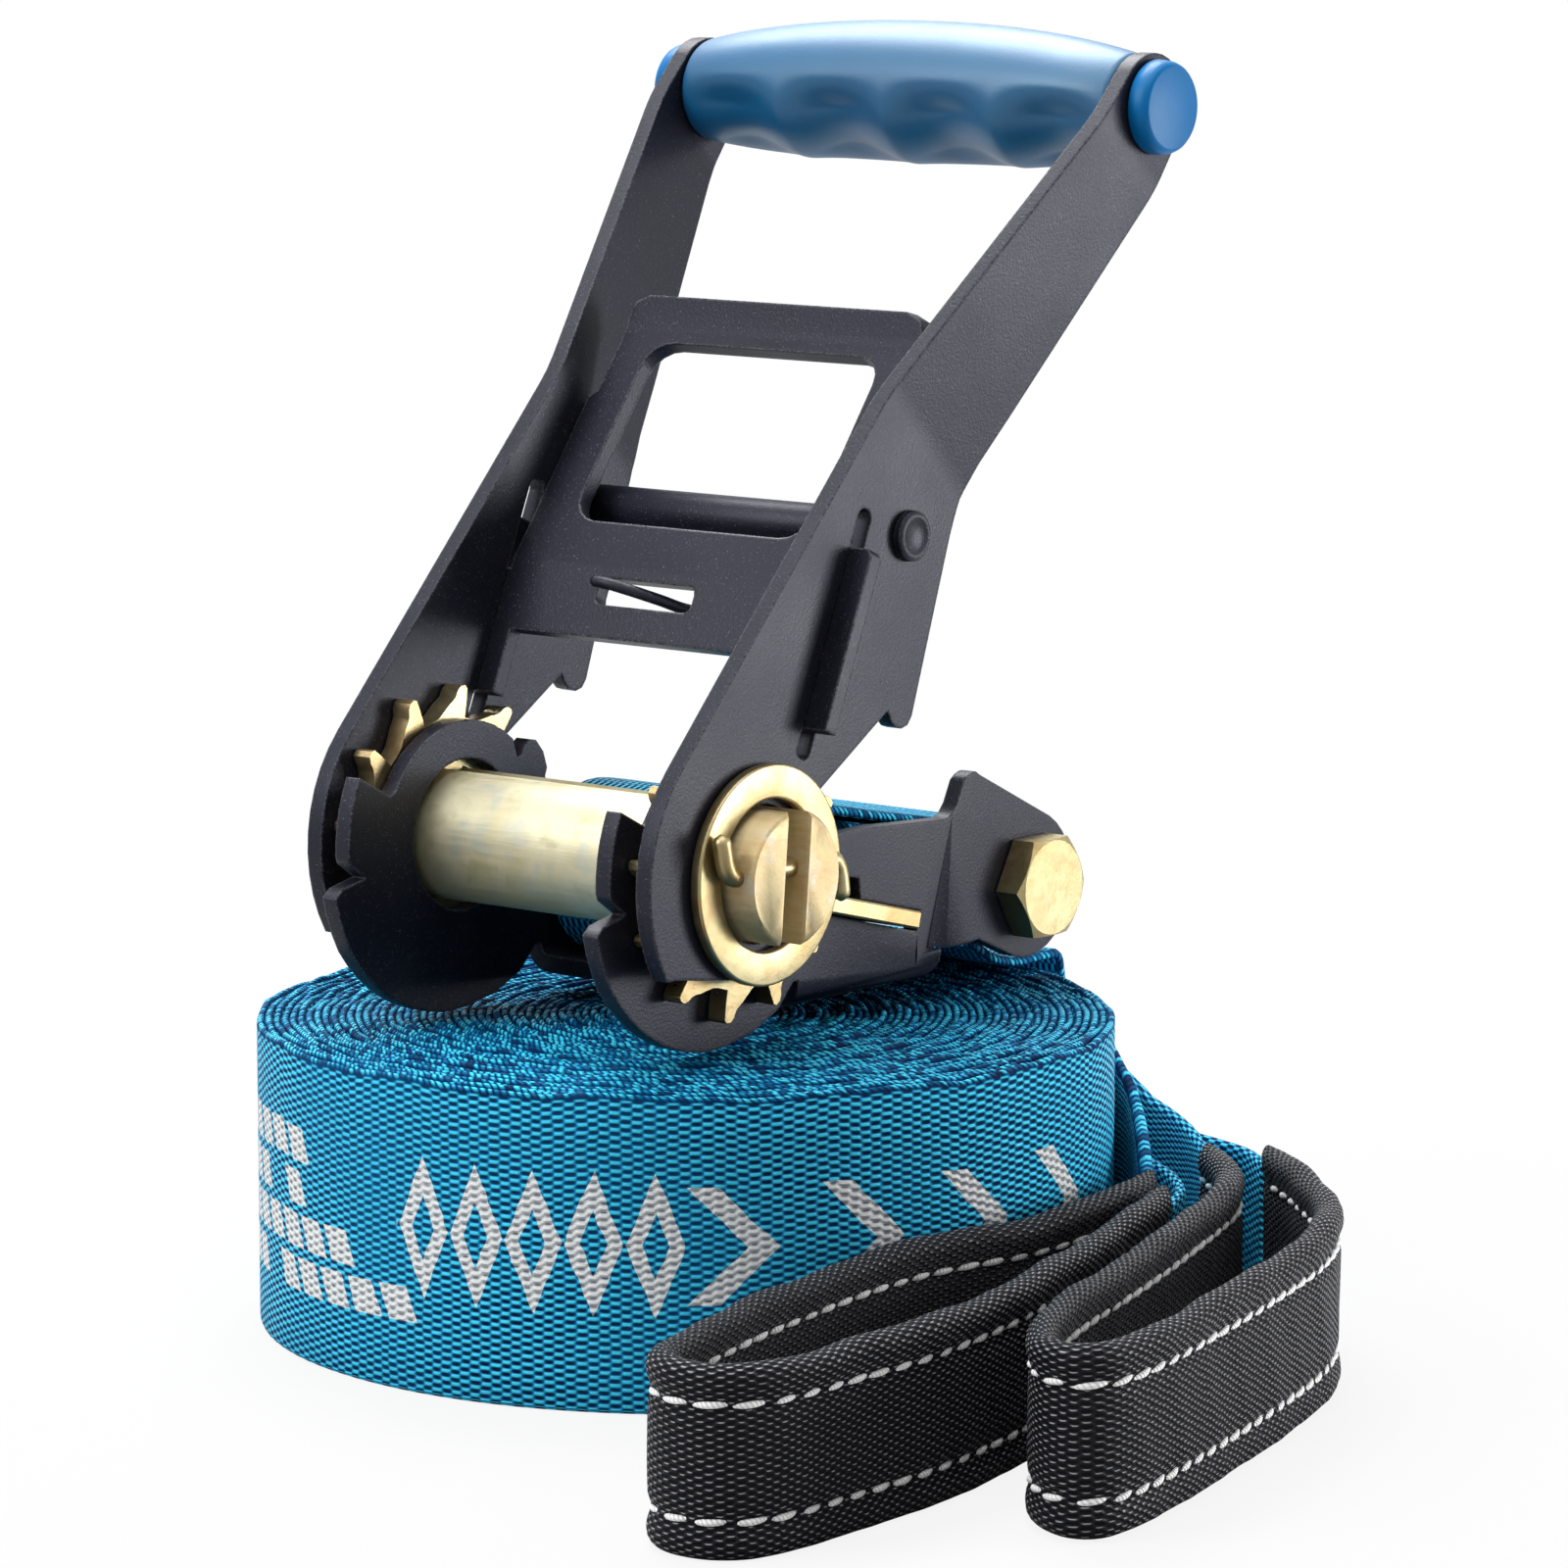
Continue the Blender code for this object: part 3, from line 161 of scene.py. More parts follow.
for name, right, away, up, size, watts in LAMPS:
    lamp_data = bpy.data.lights.new(name, "AREA")
    lamp_data.size = size
    lamp_data.energy = watts
    lamp = bpy.data.objects.new(name, lamp_data)
    lamp.location = from_front(right, away, up)
    towards = Vector(from_front(0.0, 0.0, AIM_HEIGHT)) - lamp.location
    lamp.rotation_euler = towards.to_track_quat("-Z", "Y").to_euler()
    bpy.context.scene.collection.objects.link(lamp)


# Floor: a wide sheet of white paper that takes the set's shadow and looks whiter further away from it.
FLOOR_REACH = 30.0
FLOOR_GREY = 0.45
FLOOR_GLOW = 0.88
GLOW_FROM, GLOW_TO = 0.12, 0.34
floor_corners = [(x * FLOOR_REACH, y * FLOOR_REACH, 0) for x, y in ((-1, -1), (1, -1), (1, 1), (-1, 1))]
floor_mesh = bpy.data.meshes.new("floor")
floor_mesh.from_pydata(floor_corners, [], [(0, 1, 2, 3)])
floor_finish = bpy.data.materials.new("white_floor")
floor_finish.use_nodes = True
tree = floor_finish.node_tree
tree.nodes.clear()
paper = put(tree, "BsdfDiffuse", {"Color": (FLOOR_GREY, FLOOR_GREY, FLOOR_GREY, 1)}).outputs[0]
glow = put(tree, "Emission", {"Color": (1, 1, 1, 1), "Strength": 1.0}).outputs[0]
ground = put(tree, "NewGeometry").outputs["Position"]
far = put(tree, "VectorMath", {0: ground}, operation="LENGTH").outputs["Value"]
whole = put(tree, "MapRange", {
    "Value": far, "From Min": GLOW_FROM, "From Max": GLOW_TO, "To Min": FLOOR_GLOW, "To Max": 1.0}).outputs[0]
share = calc(tree, "MULTIPLY", put(tree, "LightPath").outputs["Is Camera Ray"], whole)
put(tree, "OutputMaterial", {"Surface": put(tree, "MixShader", {0: share, 1: paper, 2: glow}).outputs[0]})
floor_mesh.materials.append(floor_finish)
floor = bpy.data.objects.new("floor", floor_mesh)
bpy.context.scene.collection.objects.link(floor)


# Main webbing: one strip of blue polyester, woven 50 mm wide, wound on its edge from the core outwards. Its
# end leaves the roll at the right rear, is folded narrow and goes into the front sleeve.
WEBBING_WIDTH = 0.050
WEBBING_PLY = 0.00115
ROLL_RADIUS = 0.0705
ROLL_CORE = 0.0040
ROLL_TURNS = 50
ROLL_END = math.radians(27.0)
RINGS_PER_TURN = 96
FOLDED_WIDTH = 0.025
FOLDED_PLY = 0.0027
TAIL_ROUTE = [(0.0661, 0.0233), (0.0703, 0.0110), (0.0727, 0.0000), (0.0736, -0.0205)]
EDGE_WAVES = ((0.037, 0.4, 0.5), (0.0171, 2.1, 0.3), (0.0093, 5.0, 0.2))
EDGE_DROP = 0.0012
ROLL_SWAY = 0.00025
SWAY_PHASE = 0.7
ROUTE_STEP = 0.0015
CUBIC_STEPS = 32
SIDE_STOPS = (0.0, 0.125, 0.3125, 0.5, 0.6875, 0.875, 1.0)
ROUND_POINTS = 3
CREASE = math.radians(50)


def smooth_path(points, spacing):
    """A smooth line through given points, at an even spacing.

    Each stretch is a cubic whose slope at a point is half the step between that point's neighbours; the
    dense line is then read off at equal distances.
    """
    points = np.asarray(points, float)
    p = np.vstack([2 * points[0] - points[1], points, 2 * points[-1] - points[-2]])
    a, b, c, d = (p[k:len(p) - 3 + k, None, :] for k in range(4))
    t = (np.arange(CUBIC_STEPS) / CUBIC_STEPS)[None, :, None]
    line = (2 * b + (c - a) * t + (2 * a - 5 * b + 4 * c - d) * t ** 2 + (3 * b - a - 3 * c + d) * t ** 3) / 2
    line = np.vstack([line.reshape(-1, points.shape[1]), points[-1:]])
    run = distance_along(line)
    stops = np.linspace(0, run[-1], max(4, round(run[-1] / spacing) + 1))
    return np.stack([np.interp(stops, run, line[:, k]) for k in range(line.shape[1])], -1)


def distance_along(line):
    """The distance of each point from the line's start: the running sum of the steps' lengths."""
    return np.append(0.0, np.cumsum(np.linalg.norm(np.diff(line, axis=0), axis=1)))


def waves(distance, parts):
    """A gentle unevenness between -1 and 1: a sum of sines, each of a wavelength, a phase and a share."""
    return sum(share * np.sin(2 * math.pi * distance / length + phase) for length, phase, share in parts)


def skin(name, rings, along, across, finish, closed=False):
    """A closed skin over rings of points, given as (copy, ring, point, xyz).

    Neighbouring rings are joined by four-sided faces. The first and the last ring are filled, or joined
    to each other where closed is set. The map "cloth" holds the distance along and round, in metres. If
    the volume enclosed comes out negative, every face is turned over.
    """
    rings = np.asarray(rings, float).reshape((-1,) + np.shape(rings)[-3:])
    copies, m, n = rings.shape[:3]
    i, j = np.meshgrid(np.arange(m if closed else m - 1), np.arange(n), indexing="ij")
    i2, j2 = (i + 1) % m, (j + 1) % n
    quads = np.stack([i * n + j, i2 * n + j, i2 * n + j2, i * n + j2], -1).reshape(-1, 4)
    u = np.asarray(along, float)[np.stack([i, i + 1, i + 1, i], -1)].reshape(-1)
    v = np.asarray(across, float)[np.stack([j, j, j + 1, j + 1], -1)].reshape(-1)
    faces = quads.tolist()
    if not closed:
        faces += [list(range(n)), [(m - 1) * n + k for k in range(n)][::-1]]
        u = np.concatenate([u, np.full(n, along[0]), np.full(n, along[m - 1])])
        v = np.concatenate([v, across[:n], across[:n][::-1]])
    p = rings[0].reshape(-1, 3)
    fans = np.array([(f[0], f[k], f[k + 1]) for f in faces for k in range(1, len(f) - 1)])
    volume = np.einsum("ij,ij->", p[fans[:, 0]], np.cross(p[fans[:, 1]], p[fans[:, 2]]))
    maps = np.stack([u, v], -1)
    if volume < 0:
        starts = np.append(0, np.cumsum([len(f) for f in faces]))
        maps = np.concatenate([maps[a:b][::-1] for a, b in zip(starts, starts[1:])])
        faces = [f[::-1] for f in faces]
    every = [[corner + copy * m * n for corner in f] for copy in range(copies) for f in faces]
    mesh = bpy.data.meshes.new(name)
    mesh.from_pydata(rings.reshape(-1, 3), [], every)
    cloth = np.tile(maps, (copies, 1)).astype(np.float32)
    mesh.uv_layers.new(name="cloth").data.foreach_set("uv", cloth.ravel())
    mesh.shade_smooth()
    mesh.set_sharp_from_angle(angle=CREASE)
    mesh.materials.append(finish)
    piece = bpy.data.objects.new(name, mesh)
    bpy.context.scene.collection.objects.link(piece)
    return piece


def strip_section(side_stops, round_points):
    """A webbing's section with round edges, as three arrays round it: depth, rise and bulge.

    A point lies depth half-plies out, at rise times the flat height, and bulge half-plies past it. The
    flat sides have points at the given stops, closest to the edges.
    """
    up = np.array(side_stops)
    turn = np.linspace(0, math.pi, round_points + 2)[1:-1]
    flat, cap = np.ones(len(up)), np.cos(turn)
    depth = np.concatenate([flat, cap, -flat, -cap])
    rise = np.concatenate([up, np.ones(round_points), up[::-1], np.zeros(round_points)])
    bulge = np.concatenate([0 * flat, np.sin(turn), 0 * flat, -np.sin(turn)])
    return depth, rise, bulge


def sideways(path, width_way):
    """The direction out of a strip's face at each point of its path, one long.

    It is the path's slope crossed with the direction of the strip's width.
    """
    side = np.cross(np.gradient(path, axis=0), width_way)
    return side / np.linalg.norm(side, axis=1)[:, None]


def distance_round(rings):
    """The distance of each point round the middle ring, up to its start again."""
    middle = rings[len(rings) // 2]
    return distance_along(np.vstack([middle, middle[:1]]))


def strip(name, path, width_way, low, high, ply, finish, start=0.0):
    """Webbing carried along a path, with its width along one direction.

    Each ring is the section set across the path: depth along the direction out of the strip's face, and
    from low to high along the width's direction. Low, high and ply may change on the way.
    """
    depth, rise, bulge = strip_section(SIDE_STOPS, ROUND_POINTS)
    side = sideways(path, width_way)
    low, high, half = (np.broadcast_to(v, len(path))[:, None] for v in (low, high, np.asarray(ply) / 2))
    level = low + half + rise * (high - low - 2 * half) + bulge * half
    rings = path[:, None] + (depth * half)[..., None] * side[:, None] + level[..., None] * np.array(width_way)
    return skin(name, rings, distance_along(path) + start, distance_round(rings), finish)


# The webbing's finish: its weave, the colour of its yarn with painted shade in its dips and a painted
# highlight on its crests, the loops of weft along its edge, and the white print on the roll's outer face,
# placed along and across the cloth.
WEAVE_REPEAT = 0.0035
WEAVE_ROW = 0.00128
WEAVE_STEEP = 0.75
YARN_DRIFT = 0.0012
THREADS_ALONG, THREADS_ACROSS = 300.0, 9000.0
THREAD_HEIGHT = 0.16
# Painted shade darkens the weave's dips and a painted highlight lightens its crests.
DIP_SHADE_BLUE = (0.000, 0.007, 0.042)
YARN_BLUE = (0.000, 0.150, 0.360)
CREST_HIGHLIGHT_BLUE = (0.060, 0.700, 1.000)
YARN_FROM_DIP = (0.10, 0.50)
CREST_FROM_YARN = (0.48, 0.95)
CREST_FADE = 0.30
ROLL_EDGE = 0.0492
STRAP_EDGE = 0.0472
LOOP_PITCH = 0.00125
LOOP_SLANT = 0.7
LOOP_LOW = 0.1
LOOP_DIM, LOOP_SPREAD = 0.12, 1.45
LOOP_REACH = (0.0011, 0.0003)
EDGE_REACH = (0.0013, 0.0009)
PRINT_WHITE = (0.80, 0.83, 0.84)
# Painted shade: the print's white is this much greyer low on the yarn.
PRINT_SHADED = 0.72
PRINT_REPEAT = 0.262
PRINT_START = 0.160
PRINT_MIDDLE = 0.0258
BAR_LOW = 0.0105
BAR_ROW_PITCH = 0.0070
BAR_ROWS = 4
BAR_ROW_SHIFT = 0.0031
BAR_SLANT = 0.45
BAR_CELL = 0.0074
BAR_CELLS = 13
BAR_HEIGHT, BAR_LENGTH = 0.78, 0.80
BARS_LEFT_OUT = 0.18
DIAMONDS_START = 0.086
DIAMONDS_END = 0.134
DIAMOND_PITCH = 0.0096
DIAMOND_HALF = 0.0118
DIAMOND_BAND = (0.44, 0.96)
CHEVRON_PITCH = 0.0205
CHEVRON_HALF = 0.0092
CHEVRON_BAND = 0.24
CHEVRONS = (7, 11)


def mix_colors(tree, share, a, b):
    """A colour between two colours or outputs."""
    a, b = (value if isinstance(value, bpy.types.NodeSocket) else (*value, 1.0) for value in (a, b))
    return put(tree, "Mix", {"Factor": share, 6: a, 7: b}, data_type="RGBA").outputs[2]


def ramp(tree, value, low, high):
    """0 below low, 1 above high, an even climb between; a fall where low is the greater."""
    return put(tree, "MapRange", {"Value": value, "From Min": low, "From Max": high}).outputs[0]


def noise(tree, vector, scale, detail, **more):
    """Cloudy noise between 0 and 1. More holds further inputs by name."""
    return put(tree, "TexNoise", {"Vector": vector, "Scale": scale, "Detail": detail, **more}).outputs[0]


def bump(tree, height, strength, distance, **more):
    """The normal of a surface raised by a height, 0 to 1, times a distance."""
    sockets = {"Strength": strength, "Distance": distance, "Height": height, **more}
    return put(tree, "Bump", sockets).outputs[0]


def object_place(tree):
    """The place on a piece, in metres; every piece lies in the set's own frame."""
    return put(tree, "TexCoord").outputs["Object"]


def cloth_map(tree):
    """The distances along and round a piece of cloth, in metres."""
    return put(tree, "SeparateXYZ", {0: put(tree, "UVMap", uv_map="cloth").outputs[0]}).outputs[:2]


def new_finish(name):
    """A material with one shader; gives the material, its tree and the shader."""
    made = bpy.data.materials.new(name)
    made.use_nodes = True
    return made, made.node_tree, made.node_tree.nodes["Principled BSDF"]


def weave(tree, u, v, repeat, row):
    """The height, 0 to 1, of a plain weave: floats laid like bricks, with a dip beyond each one's end.

    It is half of one plus the product of two cosines, one turn in each repeat along the webbing and one
    turn in each row across it; a steep climb round the middle height makes the floats and the dips flat.
    """
    along = calc(tree, "COSINE", calc(tree, "MULTIPLY", u, 2 * math.pi / repeat))
    across = calc(tree, "COSINE", calc(tree, "MULTIPLY", v, 2 * math.pi / row))
    product = calc(tree, "MULTIPLY", along, across)
    return put(tree, "MapRange", {"Value": product, "From Min": -WEAVE_STEEP, "From Max": WEAVE_STEEP},
               interpolation_type="SMOOTHSTEP").outputs[0]


def between(tree, value, low, high):
    """1 where a value is over low and under high, otherwise 0."""
    over = calc(tree, "GREATER_THAN", value, low)
    return calc(tree, "MULTIPLY", over, calc(tree, "LESS_THAN", value, high))


def in_repeat(tree, distance):
    """How much of the print's repeat lies behind a distance along the webbing, 0 to 1."""
    past_start = calc(tree, "SUBTRACT", distance, PRINT_START)
    return calc(tree, "FRACT", calc(tree, "DIVIDE", past_start, PRINT_REPEAT))


def print_share(tree, u, v):
    """Where the white print lies: rows of slanting bars, some left out, open diamonds, large chevrons.

    A bar fills most of its cell, in a distance along the webbing that slants with the place across it;
    white noise of the cell and the row leaves some out. A diamond is where the distances from its middle,
    along and across in shares of its half sizes, add up to a number in a band. A chevron is where the
    distance along plus the distance off the print's middle lies in the first part of a pitch.
    """
    place = calc(tree, "MULTIPLY", in_repeat(tree, u), PRINT_REPEAT)
    level = calc(tree, "DIVIDE", calc(tree, "SUBTRACT", v, BAR_LOW), BAR_ROW_PITCH)
    row = calc(tree, "FLOOR", level)
    slanted = calc(tree, "MULTIPLY_ADD", row, BAR_ROW_SHIFT, calc(tree, "MULTIPLY_ADD", v, BAR_SLANT, u))
    cell = calc(tree, "MULTIPLY", in_repeat(tree, slanted), PRINT_REPEAT / BAR_CELL)
    at = put(tree, "CombineXYZ", {0: calc(tree, "FLOOR", cell), 1: row}).outputs[0]
    lot = put(tree, "TexWhiteNoise", {"Vector": at}, noise_dimensions="2D").outputs["Value"]
    bars = calc(tree, "GREATER_THAN", lot, BARS_LEFT_OUT)
    bars = calc(tree, "MULTIPLY", bars, between(tree, level, 0.0, BAR_ROWS))
    for part, limit in ((level, BAR_HEIGHT), (cell, BAR_LENGTH)):
        bars = calc(tree, "MULTIPLY", bars, calc(tree, "LESS_THAN", calc(tree, "FRACT", part), limit))
    off = calc(tree, "ABSOLUTE", calc(tree, "SUBTRACT", v, PRINT_MIDDLE))
    swing = calc(tree, "FRACT", calc(tree, "DIVIDE", place, DIAMOND_PITCH))
    swing = calc(tree, "ABSOLUTE", calc(tree, "SUBTRACT", swing, 0.5))
    reach = calc(tree, "ADD", calc(tree, "MULTIPLY", swing, 2.0), calc(tree, "DIVIDE", off, DIAMOND_HALF))
    diamonds = between(tree, reach, *DIAMOND_BAND)
    arrow = calc(tree, "DIVIDE", calc(tree, "ADD", place, off), CHEVRON_PITCH)
    chevrons = calc(tree, "LESS_THAN", calc(tree, "FRACT", arrow), CHEVRON_BAND)
    chevrons = calc(tree, "MULTIPLY", chevrons, calc(tree, "LESS_THAN", off, CHEVRON_HALF))
    share = calc(tree, "MULTIPLY", bars, calc(tree, "LESS_THAN", cell, BAR_CELLS))
    share = calc(tree, "MULTIPLY_ADD", diamonds, between(tree, place, DIAMONDS_START, DIAMONDS_END), share)
    return calc(tree, "MULTIPLY_ADD", chevrons, between(tree, arrow, *CHEVRONS), share)


def webbing_finish(name, printed, edge):
    """Woven polyester: blue yarn with painted shade in its dips and a painted highlight on its crests, and
    fine threads along it.

    Round the edge at the given place across it, the weft turns over in slanting loops, some brighter: the
    size of a sine of the distance along plus a share of the distance off the edge. Print is worn off the
    dips, and painted shade makes it greyer low on the yarn.
    """
    made, tree, shader = new_finish(name)
    along, across = cloth_map(tree)
    place = object_place(tree)
    drift = noise(tree, place, 260.0, 2.0)
    u = calc(tree, "MULTIPLY_ADD", calc(tree, "SUBTRACT", drift, 0.5), YARN_DRIFT, along)
    height = weave(tree, u, across, WEAVE_REPEAT, WEAVE_ROW)
    stretched = put(tree, "CombineXYZ", {
        0: calc(tree, "MULTIPLY", along, THREADS_ALONG),
        1: calc(tree, "MULTIPLY", across, THREADS_ACROSS)}).outputs[0]
    height = calc(tree, "MULTIPLY_ADD", noise(tree, stretched, 1.0, 1.0), THREAD_HEIGHT, height)
    off = calc(tree, "SUBTRACT", across, edge)
    loop = calc(tree, "DIVIDE", calc(tree, "MULTIPLY_ADD", off, LOOP_SLANT, u), LOOP_PITCH)
    number = calc(tree, "FLOOR", loop)
    lot = put(tree, "TexWhiteNoise", {"W": number}, noise_dimensions="1D").outputs["Value"]
    bright = calc(tree, "MULTIPLY_ADD", lot, LOOP_SPREAD, LOOP_DIM)
    loops = calc(tree, "ABSOLUTE", calc(tree, "SINE", calc(tree, "MULTIPLY", loop, math.pi)))
    loops = calc(tree, "MULTIPLY", calc(tree, "MULTIPLY_ADD", loops, 1 - LOOP_LOW, LOOP_LOW), bright)
    off = calc(tree, "ABSOLUTE", off)
    loops = calc(tree, "MULTIPLY", loops, ramp(tree, off, *LOOP_REACH))
    on_edge = ramp(tree, off, *EDGE_REACH)
    height = put(tree, "Mix", {"Factor": on_edge, "A": height, "B": loops}).outputs[0]
    faded = calc(tree, "MULTIPLY", ramp(tree, noise(tree, place, 38.0, 3.0), 0.35, 0.75), CREST_FADE)
    # Painted shade in the dips and a painted highlight on the crests, set by the weave's height.
    color = mix_colors(tree, ramp(tree, height, *YARN_FROM_DIP), DIP_SHADE_BLUE, YARN_BLUE)
    color = mix_colors(tree, ramp(tree, height, *CREST_FROM_YARN), color, CREST_HIGHLIGHT_BLUE)
    color = mix_colors(tree, faded, color, YARN_BLUE)
    if printed:
        share = calc(tree, "MULTIPLY", print_share(tree, u, across), ramp(tree, height, 0.04, 0.16))
        # Painted shade: the print's white turns greyer low on the yarn.
        painted_light = tuple(PRINT_SHADED * c for c in PRINT_WHITE)
        white = mix_colors(tree, ramp(tree, height, 0.1, 0.9), painted_light, PRINT_WHITE)
        color = mix_colors(tree, share, color, white)
    fill(tree, shader, {
        "Base Color": color, "Roughness": ramp(tree, height, 1.6, -0.4), "Specular IOR Level": 0.08,
        "Normal": bump(tree, height, 0.85, 0.0006)})
    return made


main_webbing_finish = webbing_finish("printed_blue_webbing", True, ROLL_EDGE)
plain_webbing_finish = webbing_finish("blue_webbing", False, STRAP_EDGE)

turn = np.linspace(0, 2 * math.pi * ROLL_TURNS, ROLL_TURNS * RINGS_PER_TURN + 1)
inward = turn / turn[-1]
roll_outer = ROLL_RADIUS - WEBBING_PLY / 2
radius = roll_outer + (ROLL_CORE - roll_outer) * inward
radius = radius - ROLL_SWAY * (1 - inward) * (1 + np.sin(2 * (turn + ROLL_END) + SWAY_PHASE))
spiral = np.stack([radius * np.cos(turn + ROLL_END), radius * np.sin(turn + ROLL_END)], -1)
tail = smooth_path([spiral[0], *TAIL_ROUTE], ROUTE_STEP)[::-1]
tail_length = distance_along(tail)[-1]
line = np.vstack([tail[:-1], spiral])
path = from_front(line[:, 0], line[:, 1], 0.0)
run = distance_along(path) - tail_length
fold = np.clip(-run / tail_length, 0, 1)
top = WEBBING_WIDTH - EDGE_DROP * (0.5 + 0.5 * waves(run, EDGE_WAVES)) * (1 - fold)
top = top + (FOLDED_WIDTH - WEBBING_WIDTH) * fold
ply = WEBBING_PLY + (FOLDED_PLY - WEBBING_PLY) * fold
roll = strip("main_webbing", path, (0, 0, 1), 0.0, top, ply, main_webbing_finish, start=-tail_length)
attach(roll, "main_line")
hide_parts("webbing_roll", "main_tail")


# The lap of the main webbing: the other end of its sewn loop, folded narrow, which comes back from the
# sleeve and lies against the tail.
LAP_ROUTE = [
    (0.0759, -0.0332), (0.0785, -0.0210), (0.0778, -0.0100), (0.0753, 0.0000), (0.0728, 0.0109),
    (0.0688, 0.0235),
]
LAP_PLY = 0.0018


def standing_strip(name, route, low, high, ply, finish):
    """A strip that stands on its edge along a route given in the viewer's frame, and the smooth route."""
    line = smooth_path(route, ROUTE_STEP)
    return strip(name, from_front(line[:, 0], line[:, 1], 0.0), (0, 0, 1), low, high, ply, finish), line


lap, line = standing_strip("main_webbing_lap", LAP_ROUTE, 0.0, FOLDED_WIDTH, LAP_PLY, plain_webbing_finish)
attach(lap, "main_line")
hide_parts("main_lap")


# Loop sleeves: a tube of black woven cloth pressed flat round each sewn loop, with soft round rims and a
# row of white running stitches along each edge, on both faces.
SLEEVE_HEIGHT = 0.0285
SLEEVE_HALF = 0.00235
SLEEVE_POINTS = 26
STITCH_RISE = (0.0057, 0.0226)
SLEEVE_STEP = 0.0011
SLEEVE_SHUT = 0.003
WAIST_DEPTH, WAIST_REACH = 0.30, 0.0011
THIN_DEPTH, THIN_REACH = 0.14, 0.003
PUCKER_DEPTH, PUCKER_REACH = 0.00014, 0.0014
RIPPLE_DEPTH = 0.00022
RIPPLE_SLANT = 0.4
RIM_DROP = 0.0007
CLOTH_WAVES = ((0.029, 0.3, 0.55), (0.0125, 1.9, 0.30), (0.0061, 4.2, 0.15))
RIM_WAVES = ((0.043, 1.2, 0.6), (0.019, 0.4, 0.4))
MAIN_LOOP_ROUTE = [
    (0.0738, -0.0210), (0.0665, -0.0375), (0.0530, -0.0565), (0.0340, -0.0735), (0.0180, -0.0980),
    (0.0065, -0.1200), (-0.0010, -0.1375), (-0.0005, -0.1465), (0.0060, -0.1512), (0.0140, -0.1485),
    (0.0252, -0.1359), (0.0361, -0.1225), (0.0478, -0.1029), (0.0588, -0.0782), (0.0690, -0.0520),
    (0.0752, -0.0340),
]
STRAP_LOOP_ROUTE = [
    (0.0842, -0.0020), (0.0862, -0.0250), (0.0810, -0.0450), (0.0690, -0.0790), (0.0590, -0.1040),
    (0.0530, -0.1230), (0.0528, -0.1350), (0.0570, -0.1410), (0.0628, -0.1380), (0.0716, -0.1229),
    (0.0889, -0.0854), (0.0975, -0.0620), (0.1000, -0.0430), (0.0980, -0.0240), (0.0938, -0.0050),
]


def sleeve_half(rise):
    """Half the sleeve's thickness at a height above its foot.

    Near a rim it is a half circle; past the rim it narrows in a waist at the stitches and stays a little
    thinner than the rim over the flat webbing inside.
    """
    inside = np.minimum(rise, SLEEVE_HEIGHT - rise)
    rim = SLEEVE_HALF * np.sqrt(np.clip(1 - (1 - inside / SLEEVE_HALF) ** 2, 0, 1))
    waist = WAIST_DEPTH * np.exp(-((inside - STITCH_RISE[0]) / WAIST_REACH) ** 2)
    thin = THIN_DEPTH * np.clip((inside - SLEEVE_HALF) / THIN_REACH, 0, 1)
    return np.where(inside < SLEEVE_HALF, rim, SLEEVE_HALF * (1 - waist - thin))


def sleeve(name, route, foot, pitch, finish):
    """A sleeve along its route: rings of the section above, with slack ripples and a dip at each stitch.

    A ring's heights follow half of one minus the cosine of half a turn, so that points gather at the rims.
    The dips follow a cosine of the stitches' pitch, and the sleeve draws shut at both ends.
    """
    line = smooth_path(route, SLEEVE_STEP)
    path = from_front(line[:, 0], line[:, 1], foot)
    run = distance_along(path)
    side = sideways(path, (0, 0, 1))
    climb = 0.5 - 0.5 * np.cos(math.pi * np.arange(SLEEVE_POINTS) / SLEEVE_POINTS)
    rise = SLEEVE_HEIGHT * np.concatenate([climb, 1 - climb])[None]
    face = np.repeat([1.0, -1.0], SLEEVE_POINTS)[None]
    near = np.exp(-((np.minimum(rise, SLEEVE_HEIGHT - rise) - STITCH_RISE[0]) / PUCKER_REACH) ** 2)
    pucker = PUCKER_DEPTH * near * np.cos(2 * math.pi * run / pitch)[:, None]
    ripple = RIPPLE_DEPTH * waves(run[:, None] + RIPPLE_SLANT * rise, CLOTH_WAVES)
    shut = np.clip(np.minimum(run, run[-1] - run) / SLEEVE_SHUT, 0.25, 1)[:, None] ** 0.5
    depth = face * (sleeve_half(rise) - pucker) * shut + ripple
    drop = RIM_DROP * (0.5 + 0.5 * waves(run, RIM_WAVES))[:, None]
    level = rise - drop * (rise / SLEEVE_HEIGHT) ** 2
    rings = path[:, None] + depth[..., None] * side[:, None] + level[..., None] * np.array((0, 0, 1))
    return skin(name, rings, run, distance_round(rings), finish), path, side


THREAD_RADIUS = 0.00052
THREAD_THIN = 0.70
THREAD_GIRTH = 0.002
STITCH_MARGIN = 0.004
STITCH_BOW = 0.00055
STITCH_SINK = 0.00030
STITCH_RINGS, STITCH_SIDES = 9, 8


